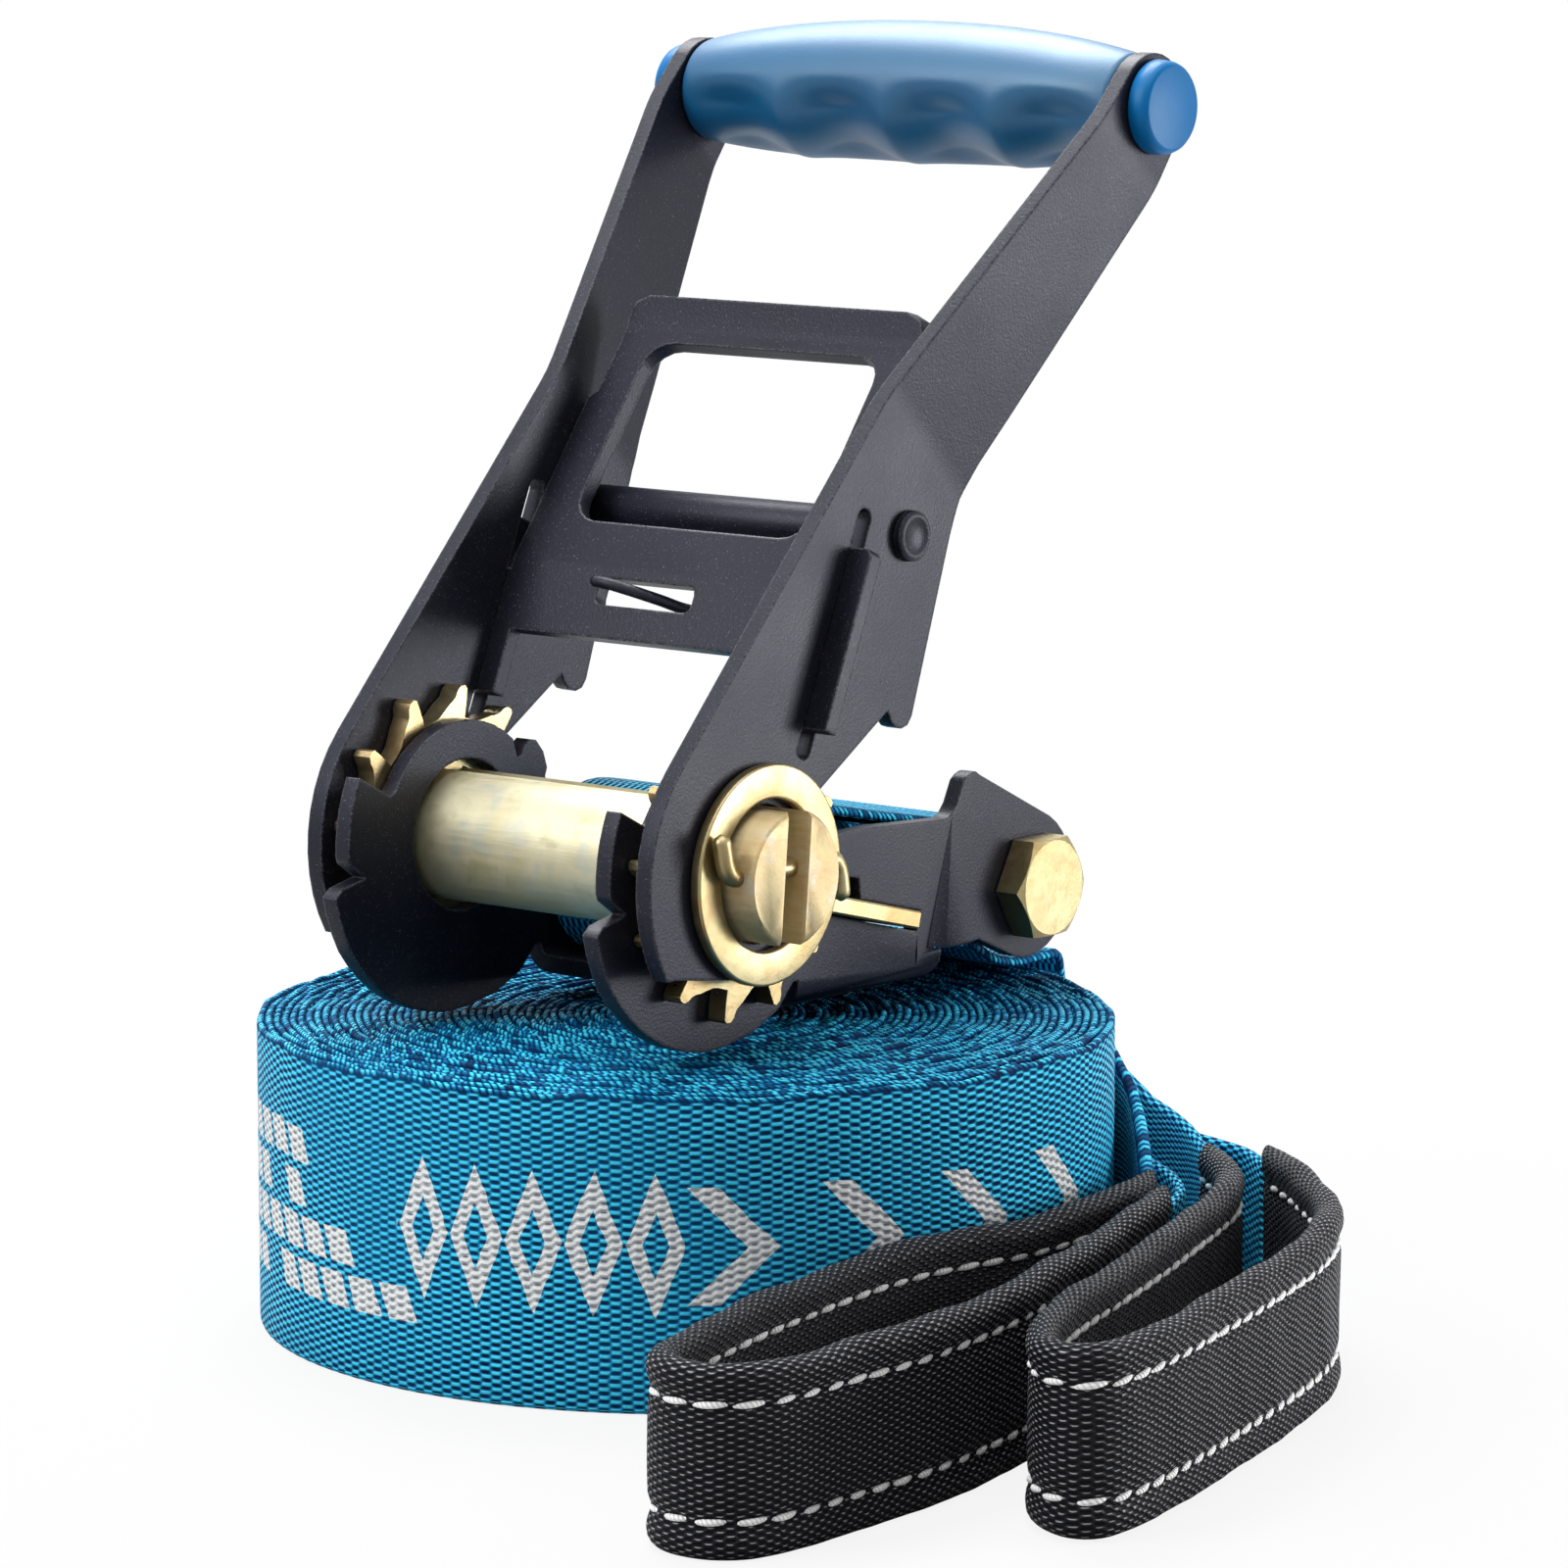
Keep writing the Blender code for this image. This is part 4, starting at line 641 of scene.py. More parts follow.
def running_stitches(name, path, side, pitch, length, slant, finish):
    """White thread along both edges of a sleeve, on both faces.

    Each stitch is a short tube that follows the path: its middle lies on the cloth, its ends dive in by a
    cosine, and it leans a little. Rows are laid one after another at the stitch pitch.
    """
    run = distance_along(path)
    offset = np.linspace(-0.5, 0.5, STITCH_RINGS) * length
    bow = np.cos(math.pi * offset / length)
    thick = THREAD_RADIUS * (THREAD_THIN + (1 - THREAD_THIN) * bow)
    spin = np.linspace(0, 2 * math.pi, STITCH_SIDES, endpoint=False)
    starts = np.arange(STITCH_MARGIN, run[-1] - STITCH_MARGIN, pitch)
    at = starts[:, None] + offset[None]
    middle, out = (np.stack([np.interp(at, run, v[:, k]) for k in range(3)], -1) for v in (path, side))
    rows = []
    for rise in STITCH_RISE:
        for face in (1.0, -1.0):
            half = sleeve_half(np.array(rise)) + STITCH_BOW * bow - STITCH_SINK
            lean = slant * offset * face
            centre = middle + face * out * half[:, None] + (rise + lean)[:, None] * np.array((0, 0, 1))
            ring = (thick[:, None] * np.cos(spin))[..., None] * out[:, :, None] * face
            ring = ring + (thick[:, None] * np.sin(spin))[..., None] * np.array((0, 0, 1))
            rows.append(centre[:, :, None] + ring)
    return skin(name, np.concatenate(rows), offset, np.linspace(0, THREAD_GIRTH, STITCH_SIDES + 1), finish)


SLEEVE_REPEAT = 0.0024
SLEEVE_ROW = 0.00114
SLEEVE_DRIFT_ALONG, SLEEVE_DRIFT_ACROSS = 0.0009, 0.0003
SLEEVE_PATCHES = 0.30
# Painted shade makes the dips near black; a painted grey glint lies low on each float.
PAINTED_GLINT_RISE = 0.22
SLEEVE_DIP_SHADE = (0.0005, 0.0005, 0.001)
SLEEVE_YARN = (0.009, 0.009, 0.012)
SLEEVE_PAINTED_GLINT = (0.330, 0.335, 0.380)


def sleeve_finish():
    """Black polyester cloth in a plain weave: painted shade near black in the dips, a painted grey glint low
    on each float.
    """
    made, tree, shader = new_finish("black_sleeve_cloth")
    along, across = cloth_map(tree)
    place = object_place(tree)
    drift = calc(tree, "SUBTRACT", noise(tree, place, 420.0, 2.0), 0.5)
    u = calc(tree, "MULTIPLY_ADD", drift, SLEEVE_DRIFT_ALONG, along)
    v = calc(tree, "MULTIPLY_ADD", drift, SLEEVE_DRIFT_ACROSS, across)
    height = weave(tree, u, v, SLEEVE_REPEAT, SLEEVE_ROW)
    height = calc(tree, "MULTIPLY_ADD", noise(tree, place, 900.0, 2.0), SLEEVE_PATCHES, height)
    # Painted glint: a thin grey line where a shifted weave and the float's height are both high.
    lit = weave(tree, u, calc(tree, "ADD", v, -PAINTED_GLINT_RISE * SLEEVE_ROW), SLEEVE_REPEAT, SLEEVE_ROW)
    painted_glint = calc(tree, "MULTIPLY", ramp(tree, lit, 0.88, 1.0), ramp(tree, height, 0.50, 1.10))
    color = mix_colors(tree, ramp(tree, height, 0.25, 0.85), SLEEVE_DIP_SHADE, SLEEVE_YARN)
    fill(tree, shader, {
        "Base Color": mix_colors(tree, painted_glint, color, SLEEVE_PAINTED_GLINT),
        "Roughness": ramp(tree, height, 1.8, -0.4), "Specular IOR Level": 0.12,
        "Normal": bump(tree, height, 0.9, 0.00045)})
    return made


TWIST_ALONG, TWIST_ROUND = 0.00062, 0.001
# Painted shade: the twist's grooves are grey.
THREAD_GROOVE_SHADE = (0.60, 0.60, 0.61)
THREAD_WHITE = (0.95, 0.95, 0.94)


def thread_finish():
    """Twisted white thread: slanting bands, the size of a sine along and round each stitch, with painted
    shade between.
    """
    made, tree, shader = new_finish("white_thread")
    along, across = cloth_map(tree)
    round_share = calc(tree, "DIVIDE", across, TWIST_ROUND)
    twist = calc(tree, "ADD", calc(tree, "DIVIDE", along, TWIST_ALONG), round_share)
    height = calc(tree, "ABSOLUTE", calc(tree, "SINE", calc(tree, "MULTIPLY", twist, math.pi)))
    # Painted shade in the grooves between the twist's bands.
    fill(tree, shader, {
        "Base Color": mix_colors(tree, ramp(tree, height, 0.0, 0.8), THREAD_GROOVE_SHADE, THREAD_WHITE),
        "Roughness": 0.7, "Normal": bump(tree, height, 0.8, 0.00015)})
    return made


STRAP_FOOT = 0.0003
LOOPS = (  # name, route, foot, body, node, stitch pitch, stitch length, slant of the stitches
    ("main_loop", MAIN_LOOP_ROUTE, 0.0, "main_line", "main_loop_sleeve", 0.0051, 0.0046, 0.06),
    ("strap_loop", STRAP_LOOP_ROUTE, STRAP_FOOT, "ratchet_base", "strap_loop_sleeve", 0.0048, 0.0047, 0.13),
)
cloth, thread = sleeve_finish(), thread_finish()
for name, route, foot, body, node, pitch, length, slant in LOOPS:
    piece, path, side = sleeve(name + "_cloth", route, foot, pitch, cloth)
    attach(piece, body)
    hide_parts(node)
    stitches = running_stitches(name + "_stitches", path, side, pitch, length, slant, thread)
    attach(stitches, body)
    length = float(distance_along(path)[-1])


# Ratchet strap: short blue webbing with a sewn eye round the rear bolt's spacer. It runs forward over the
# locking plate, folds under it, goes back along the channel's web and out over the roll's rear rim.
STRAP_WIDTH = 0.0475
STRAP_STEP = 0.0009
STRAP_PLY = 0.0016
BOLT_PLACE = (0.0790, -0.0128)
EYE_RADIUS = 0.0092
STRAP_DROP = 0.09566
STRAP_ROUTE = [
    (STRAP_DROP, -0.0770), (STRAP_DROP, -0.0500), (STRAP_DROP, -0.0345), (STRAP_DROP - 0.0003, -0.0300),
    (STRAP_DROP - 0.0014, -0.0274), (STRAP_DROP - 0.0045, -0.0270), (0.0830, -0.0270), (0.0765, -0.0255),
    (0.0700, -0.0222), (0.0600, -0.0210), (0.0450, -0.0210), (0.0290, -0.0210), (0.0240, -0.0196),
    (0.0208, -0.0155), (0.0198, -0.0090), (0.0204, -0.0020), (0.0235, 0.0035), (0.0300, 0.0051),
    (0.0450, 0.0023), (0.0620, -0.0010), (0.0720, -0.0029),
]
EYE_TURN = (94, -112)
EYE_POINTS = 9
STRAP_END_ROUTE = [
    (0.0715, -0.0198), (0.0665, -0.0165), (0.0600, -0.0085), (0.0540, -0.0026), (0.0460, -0.0003),
    (0.0370, 0.0015),
]
bend = np.radians(np.linspace(*EYE_TURN, EYE_POINTS))
eye = np.stack([BOLT_PLACE[0] + EYE_RADIUS * np.cos(bend), BOLT_PLACE[1] + EYE_RADIUS * np.sin(bend)], -1)
line = smooth_path([*STRAP_ROUTE, *eye, *STRAP_END_ROUTE], STRAP_STEP)
path = np.column_stack([np.full(len(line), axis[0]), axis[1] + line[:, 0], axis[2] + line[:, 1]])
strap = strip("ratchet_strap_webbing", path, (1, 0, 0), -STRAP_WIDTH / 2, STRAP_WIDTH / 2, STRAP_PLY,
              plain_webbing_finish)
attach(strap, "ratchet_base")
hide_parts("ratchet_strap")

# The strap's run behind the roll: it stands on its edge, narrows and goes into the second sleeve, and its
# lap comes back out of the sleeve.
BEHIND = 0.09776
BEHIND_STOPS = (-0.022, 0.0, 0.020)
RUN_ROUTE = [(0.0668, 0.0430), (0.0760, 0.0310), (0.0815, 0.0180), (0.0838, 0.0060), (0.0841, -0.0014)]
RUN_HEIGHTS = (0.0440, 0.0440, 0.0290, 0.0250)
STRAP_LAP_ROUTE = [(0.0934, -0.0040), (0.0912, 0.0070), (0.0868, 0.0150), (0.0835, 0.0200), (0.0804, 0.0268)]


def to_front(x, y):
    """A place beside the ratchet, from the spool's axis, as (right, away) of the roll's middle."""
    c, s = math.cos(FRONT_TURN), math.sin(FRONT_TURN)
    dx, dy = x - ROLL_FROM_AXIS[0], y - ROLL_FROM_AXIS[1]
    return (c * dx + s * dy, c * dy - s * dx)


run_route = [to_front(x, BEHIND) for x in BEHIND_STOPS] + RUN_ROUTE
stops = np.linspace(0, len(RUN_HEIGHTS) - 1, len(smooth_path(run_route, ROUTE_STEP)))
tops = STRAP_FOOT + np.interp(stops, range(len(RUN_HEIGHTS)), RUN_HEIGHTS)
piece, line = standing_strip("strap_run_webbing", run_route, STRAP_FOOT, tops, LAP_PLY, plain_webbing_finish)
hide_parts("strap_run")
lap, line = standing_strip("strap_lap_webbing", STRAP_LAP_ROUTE, STRAP_FOOT, STRAP_FOOT + FOLDED_WIDTH,
                           LAP_PLY, plain_webbing_finish)
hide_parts("strap_lap")
for one in (piece, lap):
    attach(one, "ratchet_base")


# Bent steel sheet: the base channel, both lever plates and the pull plate are pressed from 3 mm sheet and
# coated with black powder, satin with a fine grain, painted glints as specks and a painted grey highlight on
# their edges. The modelled sheets are kept, welded and shaded between their real edges.
POWDER_BLACK = (0.0080, 0.0085, 0.0140)
POWDER_CLOUD = 1.35
# Painted light: the bright specks are painted glints, and the grey on the edges is a painted highlight.
POWDER_GLINT_GREY = (0.13, 0.13, 0.15)
POWDER_EDGE_HIGHLIGHT = (0.20, 0.20, 0.22)
POWDER_TINT = (0.84, 0.86, 1.0, 1.0)
PEEL_SCALE, GLINT_SCALE = 2300.0, 4200.0
GLINT_SHARE = 0.8
EDGE_ROUND_RADIUS = 0.0007


def powder_finish():
    """Black powder coat: a fine orange-peel grain, painted glints as small bright specks and slow changes of
    gloss.

    A painted grey highlight lies on an edge where the surface's own direction turns away from its direction
    averaged nearby, broken up by the grain.
    """
    made, tree, shader = new_finish("black_powder_coat")
    place = object_place(tree)
    grain = noise(tree, place, PEEL_SCALE, 2.0)
    cloud = noise(tree, place, 45.0, 4.0)
    # Painted glints: small bright specks in the colour.
    painted_glints = calc(tree, "MULTIPLY", ramp(tree, noise(tree, place, GLINT_SCALE, 0.0), 0.74, 0.82), GLINT_SHARE)
    clouded = tuple(POWDER_CLOUD * c for c in POWDER_BLACK)
    color = mix_colors(tree, ramp(tree, cloud, 0.3, 0.7), POWDER_BLACK, clouded)
    color = mix_colors(tree, painted_glints, color, POWDER_GLINT_GREY)
    # Painted highlight on the edges: grey where the rounded normal turns from the face's own, broken by the
    # grain.
    edge = put(tree, "Bevel", {"Radius": EDGE_ROUND_RADIUS}, samples=6).outputs[0]
    flat = put(tree, "NewGeometry").outputs["Normal"]
    turned = put(tree, "VectorMath", {0: edge, 1: flat}, operation="DOT_PRODUCT").outputs["Value"]
    painted_light = calc(tree, "MULTIPLY", ramp(tree, turned, 0.97, 0.80), ramp(tree, grain, 0.35, 0.65))
    fill(tree, shader, {
        "Base Color": mix_colors(tree, painted_light, color, POWDER_EDGE_HIGHLIGHT),
        "Roughness": calc(tree, "MULTIPLY_ADD", cloud, 0.22, 0.30), "Specular IOR Level": 0.21,
        "Specular Tint": POWDER_TINT, "Normal": bump(tree, grain, 0.40, 0.00012, Normal=edge)})
    return made


WELD = 0.000002
FLAT_ANGLE = math.radians(0.3)
BEND_FACE = 0.00015
BEND_ANGLES = (math.radians(3), math.radians(60))
BEND_STEPS, BEVEL_STEPS = 6, 3


def finished_copy(node, finish, sharp, bevel=0.0, bend=0.0):
    """The node's own shape, welded, with its flat faces whole, smooth between edges sharper than an angle.

    A bend between two broad faces is rounded by replacing its line with an arc that starts that far away.
    """
    source = frame["nodes"][node]
    mesh = source.data.copy()
    edit = bmesh.new()
    edit.from_mesh(mesh)
    bmesh.ops.remove_doubles(edit, verts=edit.verts, dist=WELD)
    bmesh.ops.dissolve_limit(edit, angle_limit=FLAT_ANGLE, verts=edit.verts, edges=edit.edges)
    least, most = BEND_ANGLES
    creases = [e for e in edit.edges if bend and len(e.link_faces) == 2 and min(
        f.calc_area() for f in e.link_faces) > BEND_FACE and least < e.calc_face_angle() < most]
    if creases:
        bmesh.ops.bevel(edit, geom=creases, offset=bend, segments=BEND_STEPS, profile=0.5, affect="EDGES",
                        clamp_overlap=True)
    edit.to_mesh(mesh)
    edit.free()
    mesh.shade_smooth()
    mesh.set_sharp_from_angle(angle=math.radians(sharp))
    mesh.materials.clear()
    mesh.materials.append(finish)
    piece = bpy.data.objects.new(node + "_finished", mesh)
    bpy.context.scene.collection.objects.link(piece)
    if bevel:
        edges = piece.modifiers.new("edges", "BEVEL")
        edges.width, edges.segments, edges.limit_method = bevel, BEVEL_STEPS, "ANGLE"
        edges.angle_limit = math.radians(sharp)
        edges.use_clamp_overlap = True
    even = piece.modifiers.new("even_faces", "WEIGHTED_NORMAL")
    even.keep_sharp = True
    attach(piece, source["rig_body"])
    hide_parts(node)
    return piece


SHEET_CREASE = 50
LEVER_BEND = 0.0008
powder = powder_finish()
for node, bend in (("base_frame", 0.0), ("handle_plate_left", LEVER_BEND), ("handle_plate_right", LEVER_BEND),
                   ("pull_plate", 0.0)):
    finished_copy(node, powder, SHEET_CREASE, bend=bend)


# Zinc-plated steel: bolt, nut, spacer, locking plate, spool, wheels, washers, cotters and grip tube are
# yellow passivated, a pale gold that drifts to green and rose, with the grain of drawing or turning. The
# wheels' pressed edges are rounded.
GOLD = (0.30, 0.222, 0.090)
PALE_GOLD = (0.40, 0.34, 0.195)
ROSE_GOLD = (0.36, 0.20, 0.09)
GREEN_GOLD = (0.27, 0.27, 0.12)
OLIVE = (0.46, 0.41, 0.24)
PALE_OLIVE = (0.58, 0.54, 0.38)
BRONZE = (0.34, 0.22, 0.085)
PALE_BRONZE = (0.47, 0.37, 0.20)
MILKY_BLUE = (0.36, 0.40, 0.38)
PALE_FROM_GOLD = (0.35, 0.62)
BLOOM_SHARE, GREEN_SHARE, GRAIN_SHARE = 0.60, 0.55, 0.35
SAWN_FROM = (0.031, 0.036)
EVEN_GRAIN = (420.0, 420.0, 420.0)
DRAWN_GRAIN = (90.0, 1400.0, 1400.0)
ZINC_CREASE = 32
TOOTH_EDGE = 0.0005


def zinc_finish(name, grain_way, gold, pale, shine, roughness, bloom=ROSE_GOLD, sawn=False):
    """Yellow zinc: soft clouds of gold, bloom and green, and a grain stretched along one direction.

    The sawn ends of a bar that lies along X turn bronze.
    """
    made, tree, shader = new_finish(name)
    place = object_place(tree)
    pale_share = ramp(tree, noise(tree, place, 75.0, 4.0, Roughness=0.65), *PALE_FROM_GOLD)
    film = noise(tree, place, 190.0, 3.0, Distortion=0.6)
    spread = put(tree, "Mapping", {"Vector": place, "Scale": grain_way}).outputs[0]
    grain = noise(tree, spread, 1.0, 3.0, Roughness=0.7)
    bloomed = calc(tree, "MULTIPLY", ramp(tree, film, 0.54, 0.72), BLOOM_SHARE)
    greened = calc(tree, "MULTIPLY", ramp(tree, film, 0.42, 0.25), GREEN_SHARE)
    drawn = calc(tree, "MULTIPLY", ramp(tree, grain, 0.35, 0.75), GRAIN_SHARE)
    color = mix_colors(tree, pale_share, gold, pale)
    if sawn:
        x = calc(tree, "SUBTRACT", put(tree, "SeparateXYZ", {0: place}).outputs[0], float(axis[0]))
        outer = ramp(tree, calc(tree, "ABSOLUTE", x), *SAWN_FROM)
        color = mix_colors(tree, outer, color, mix_colors(tree, pale_share, BRONZE, PALE_BRONZE))
    color = mix_colors(tree, bloomed, color, bloom)
    color = mix_colors(tree, greened, color, GREEN_GOLD)
    fill(tree, shader, {
        "Base Color": mix_colors(tree, drawn, color, pale),
        "Roughness": calc(tree, "MULTIPLY_ADD", grain, 0.34, roughness), "Metallic": shine,
        "Normal": bump(tree, grain, 0.35, 0.00012)})
    return made


zinc = zinc_finish("yellow_zinc_steel", EVEN_GRAIN, GOLD, PALE_GOLD, 0.92, 0.20)
zinc_pressed = zinc_finish("yellow_zinc_pressed_steel", EVEN_GRAIN, BRONZE, PALE_GOLD, 0.95, 0.16)
zinc_drawn = zinc_finish(
    "yellow_zinc_drawn_bar", DRAWN_GRAIN, OLIVE, PALE_OLIVE, 0.60, 0.34, bloom=MILKY_BLUE, sawn=True)
for node in ("base_bolt", "bolt_nut", "bolt_spacer", "base_pawl", "grip_tube"):
    finished_copy(node, zinc, ZINC_CREASE)
for node in ("ratchet_wheel_left", "ratchet_wheel_right"):
    finished_copy(node, zinc_pressed, ZINC_CREASE, bevel=TOOTH_EDGE)


# Spool: two half-round bars with the webbing's slot between them, drawn steel, sawn to length and their
# ends chamfered.
SHAFT_RADIUS = 0.0107
WEBBING_SLOT = 0.0050
SLOT_TILT = 5.3
SHAFT_END = 0.0430
SHAFT_CHAMFER = 0.0006
SHAFT_STATIONS = [
    (-SHAFT_END, SHAFT_CHAMFER), (-SHAFT_END + SHAFT_CHAMFER, 0.0), (0.0, 0.0),
    (SHAFT_END - SHAFT_CHAMFER, 0.0), (SHAFT_END, SHAFT_CHAMFER),
]
ARC_POINTS, FLAT_POINTS = 49, 12


def carried(name, outline, stations, finish):
    """An outline of (Y, Z) pairs carried along X, at stations of (X, inset) pairs.

    Inset draws the outline towards its own middle, to chamfer an end.
    """
    middle = outline.mean(0)
    reach = np.linalg.norm(outline - middle, axis=1).mean()
    rings = []
    for x, inset in stations:
        ring = middle + (outline - middle) * (1 - inset / reach)
        rings.append(np.column_stack([np.full(len(ring), x), ring + axis[1:]]))
    rings = np.array(rings) + np.array((axis[0], 0.0, 0.0))
    round_way = distance_along(np.vstack([outline, outline[:1]]))
    return skin(name, rings, [x for x, _ in stations], round_way, finish)


def half_moon(middle_way):
    """Half a disc beside the slot: an arc of the shaft's radius, closed by the slot's flat."""
    spread = math.asin(WEBBING_SLOT / 2 / SHAFT_RADIUS)
    swing = np.linspace(-math.pi / 2 + spread, math.pi / 2 - spread, ARC_POINTS) + middle_way
    curve = SHAFT_RADIUS * np.stack([np.cos(swing), np.sin(swing)], -1)
    share = np.linspace(0, 1, FLAT_POINTS)[1:-1, None]
    return np.vstack([curve, curve[-1] + (curve[0] - curve[-1]) * share])


for node, way in (("half_shaft_rear", -SLOT_TILT), ("half_shaft_front", 180 - SLOT_TILT)):
    piece = carried(node + "_bar", half_moon(math.radians(way)), SHAFT_STATIONS, zinc_drawn)
    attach(piece, "spool")
    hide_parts(node)


# Round pieces turned or pressed to a profile: the two washers on the spool, the rod between the lever
# plates, riveted over outside them, and the caps pushed into the grip's tube.
ROUND_SIDES = 96


def round_piece(name, profile, centre, finish, closed=False):
    """A profile of (X, radius) pairs turned about a line along X through a centre given as (Y, Z).

    Each ring is a circle of the profile's radius; the profile is closed for a ring-shaped piece.
    """
    x, r = np.array(profile, float).T
    spin = np.linspace(0, 2 * math.pi, ROUND_SIDES, endpoint=False)
    rings = np.stack(np.broadcast_arrays(
        (axis[0] + x)[:, None], axis[1] + centre[0] + r[:, None] * np.cos(spin),
        axis[2] + centre[1] + r[:, None] * np.sin(spin)), -1)
    along = distance_along(np.array(profile + profile[:1], float))
    return skin(name, rings, along, np.linspace(0, 2 * math.pi * r.max(), ROUND_SIDES + 1), finish, closed)


CORNER_POINTS = 5
CORNER_MOST = 0.45


def rounded(profile, radius):
    """The profile with each of its corners replaced by a curve of a given reach.

    The curve is the parabola that touches both sides, and takes less than half of a short side.
    """
    p = np.array(profile, float)
    out = []
    for before, here, after in zip(np.roll(p, 1, 0), p, np.roll(p, -1, 0)):
        back, on = before - here, after - here
        a = here + back * min(CORNER_MOST, radius / np.linalg.norm(back))
        b = here + on * min(CORNER_MOST, radius / np.linalg.norm(on))
        t = np.linspace(0, 1, CORNER_POINTS)[:, None]
        out += ((1 - t) ** 2 * a + 2 * t * (1 - t) * here + t ** 2 * b).tolist()
    return out


WASHER_PLACE = (0.0359, 0.0379)
WASHER_BORE = 0.0120
WASHER_RADIUS = 0.0174
WASHER_EDGE = 0.0005
for side, node in ((1, "washer_right"), (-1, "washer_left")):
    low, high = sorted(side * x for x in WASHER_PLACE)
    ring = [(low, WASHER_BORE), (low, WASHER_RADIUS), (high, WASHER_RADIUS), (high, WASHER_BORE)]
    piece = round_piece(node + "_disc", rounded(ring, WASHER_EDGE), (0, 0), zinc, closed=True)
    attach(piece, "spool")
    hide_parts(node)

ROD_PLACE = (0.0372, 0.0494)
ROD_RADIUS = 0.0038
ROD_STUB = 0.0029
ROD_EDGE = 0.0004
ROD_PLAY = 0.0003
RIVET_HEAD = (  # from the rod's end, radius
    (0.0003, 0.0004), (0.0003, 0.0027), (0.0, 0.0030), (0.0, 0.0034), (0.0004, 0.0040), (0.0015, 0.0041),
    (0.0015, ROD_STUB),
)
rod_low, rod_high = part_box("cross_rod")
rod_half = (rod_high.x - rod_low.x) / 2
rod_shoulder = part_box("handle_plate_right")[0].x - axis[0] - ROD_PLAY
half_rod = [(-rod_half + x, r) for x, r in RIVET_HEAD]
half_rod += [(-rod_shoulder, ROD_STUB), (-rod_shoulder, ROD_RADIUS - ROD_EDGE),
             (-rod_shoulder + ROD_EDGE, ROD_RADIUS)]
rod = round_piece("cross_rod_bar", half_rod + [(-x, r) for x, r in half_rod[::-1]], ROD_PLACE, powder)
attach(rod, "handle")
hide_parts("cross_rod")


# Cotters: bent round wire, zinc plated. Each goes through both half shafts outside its washer and is
# hooked over at one end and bent down at the other.
COTTER_PLACE = 0.0397
COTTER_RADIUS = 0.0015
HOOK_SIDE = -0.0125
COTTER_ROUTE = [
    (HOOK_SIDE - 0.0019, 0.0084), (HOOK_SIDE - 0.0015, 0.0060), (HOOK_SIDE - 0.0010, 0.0038),
    (HOOK_SIDE - 0.0002, 0.0022), (HOOK_SIDE + 0.0014, 0.0013), (HOOK_SIDE + 0.0040, 0.0012), (0.0, 0.0012),
    (0.0115, 0.0012), (0.0138, 0.0003), (0.0148, -0.0022), (0.0152, -0.0058),
]
WIRE_STEP = 0.0005
WIRE_SIDES = 16
WIRE_SIDE = (0.31, 0.90, -0.30)
WIRE_TIP = 0.2


def bent_wire(name, route, radius, finish):
    """Round wire along a route of places from the spool's axis, with domed ends.

    Each ring is a circle across the path. Its first direction is the one before it, less what lies along
    the path, so that the rings don't twist. Near an end the radius follows a circle.
    """
    path = axis + smooth_path(route, WIRE_STEP)
    slope = np.gradient(path, axis=0)
    slope /= np.linalg.norm(slope, axis=1)[:, None]
    side = np.cross(slope, WIRE_SIDE)
    for k in range(1, len(side)):
        side[k] = side[k - 1] - slope[k] * (side[k - 1] @ slope[k])
        side[k] /= np.linalg.norm(side[k])
    side[0] /= np.linalg.norm(side[0])
    other = np.cross(slope, side)
    run = distance_along(path)
    inward = np.clip(1 - np.minimum(run, run[-1] - run) / radius, 0, 1)
    dome = np.sqrt(np.clip(1 - inward ** 2, WIRE_TIP ** 2, 1))
    spin = np.linspace(0, 2 * math.pi, WIRE_SIDES, endpoint=False)[None, :, None]
    rings = path[:, None] + (radius * dome)[:, None, None] * (
        np.cos(spin) * side[:, None] + np.sin(spin) * other[:, None])
    return skin(name, rings, run, np.linspace(0, 2 * math.pi * radius, WIRE_SIDES + 1), finish)


for side, node in ((1, "cotter_right"), (-1, "cotter_left")):
    route = [(side * COTTER_PLACE, y, z) for y, z in COTTER_ROUTE]
    piece = bent_wire(node + "_wire", route, COTTER_RADIUS, zinc)
    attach(piece, "spool")
    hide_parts(node)


# The pull plate's spring: black coated wire. Its hooked end lies round the rod and its front end comes out
# through the slot.
SPRING_SIDE = 0.006
SPRING_RADIUS = 0.00095
SPRING_PLAY = 0.0003
SPRING_HOOK = ROD_RADIUS + SPRING_RADIUS + SPRING_PLAY
HOOK_TURN = (-75, 30)
HOOK_POINTS = 5
PULL_WAY = math.radians(66.5)
PULL_OFFSET = 0.00273
IN_SLOT = [
    (-0.0136, 0.0440, 0.0027), (-0.0105, 0.0438, 0.0027), (-0.0065, 0.0434, 0.0012),
    (-0.0020, 0.0429, -0.0012), (0.0020, 0.0424, -0.0036), (0.0050, 0.0430, -0.0060),
]
BEFORE_HOOK = (SPRING_SIDE, 0.0310, 0.0400)


def on_pull_plate(x, reach, lift):
    """A place from the spool's axis, given along X, up the pull plate and off its middle to the front."""
    off = PULL_OFFSET - lift
    return (x, reach * math.cos(PULL_WAY) + off * math.sin(PULL_WAY),
            reach * math.sin(PULL_WAY) - off * math.cos(PULL_WAY))


spring_route = [on_pull_plate(*place) for place in IN_SLOT] + [BEFORE_HOOK]
for a in np.radians(np.linspace(*HOOK_TURN, HOOK_POINTS)):
    spring_route.append(
        (SPRING_SIDE, ROD_PLACE[0] + SPRING_HOOK * math.cos(a), ROD_PLACE[1] + SPRING_HOOK * math.sin(a)))
spring = bent_wire("pull_spring_wire", spring_route, SPRING_RADIUS, powder)
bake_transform(spring)
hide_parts("pull_spring")


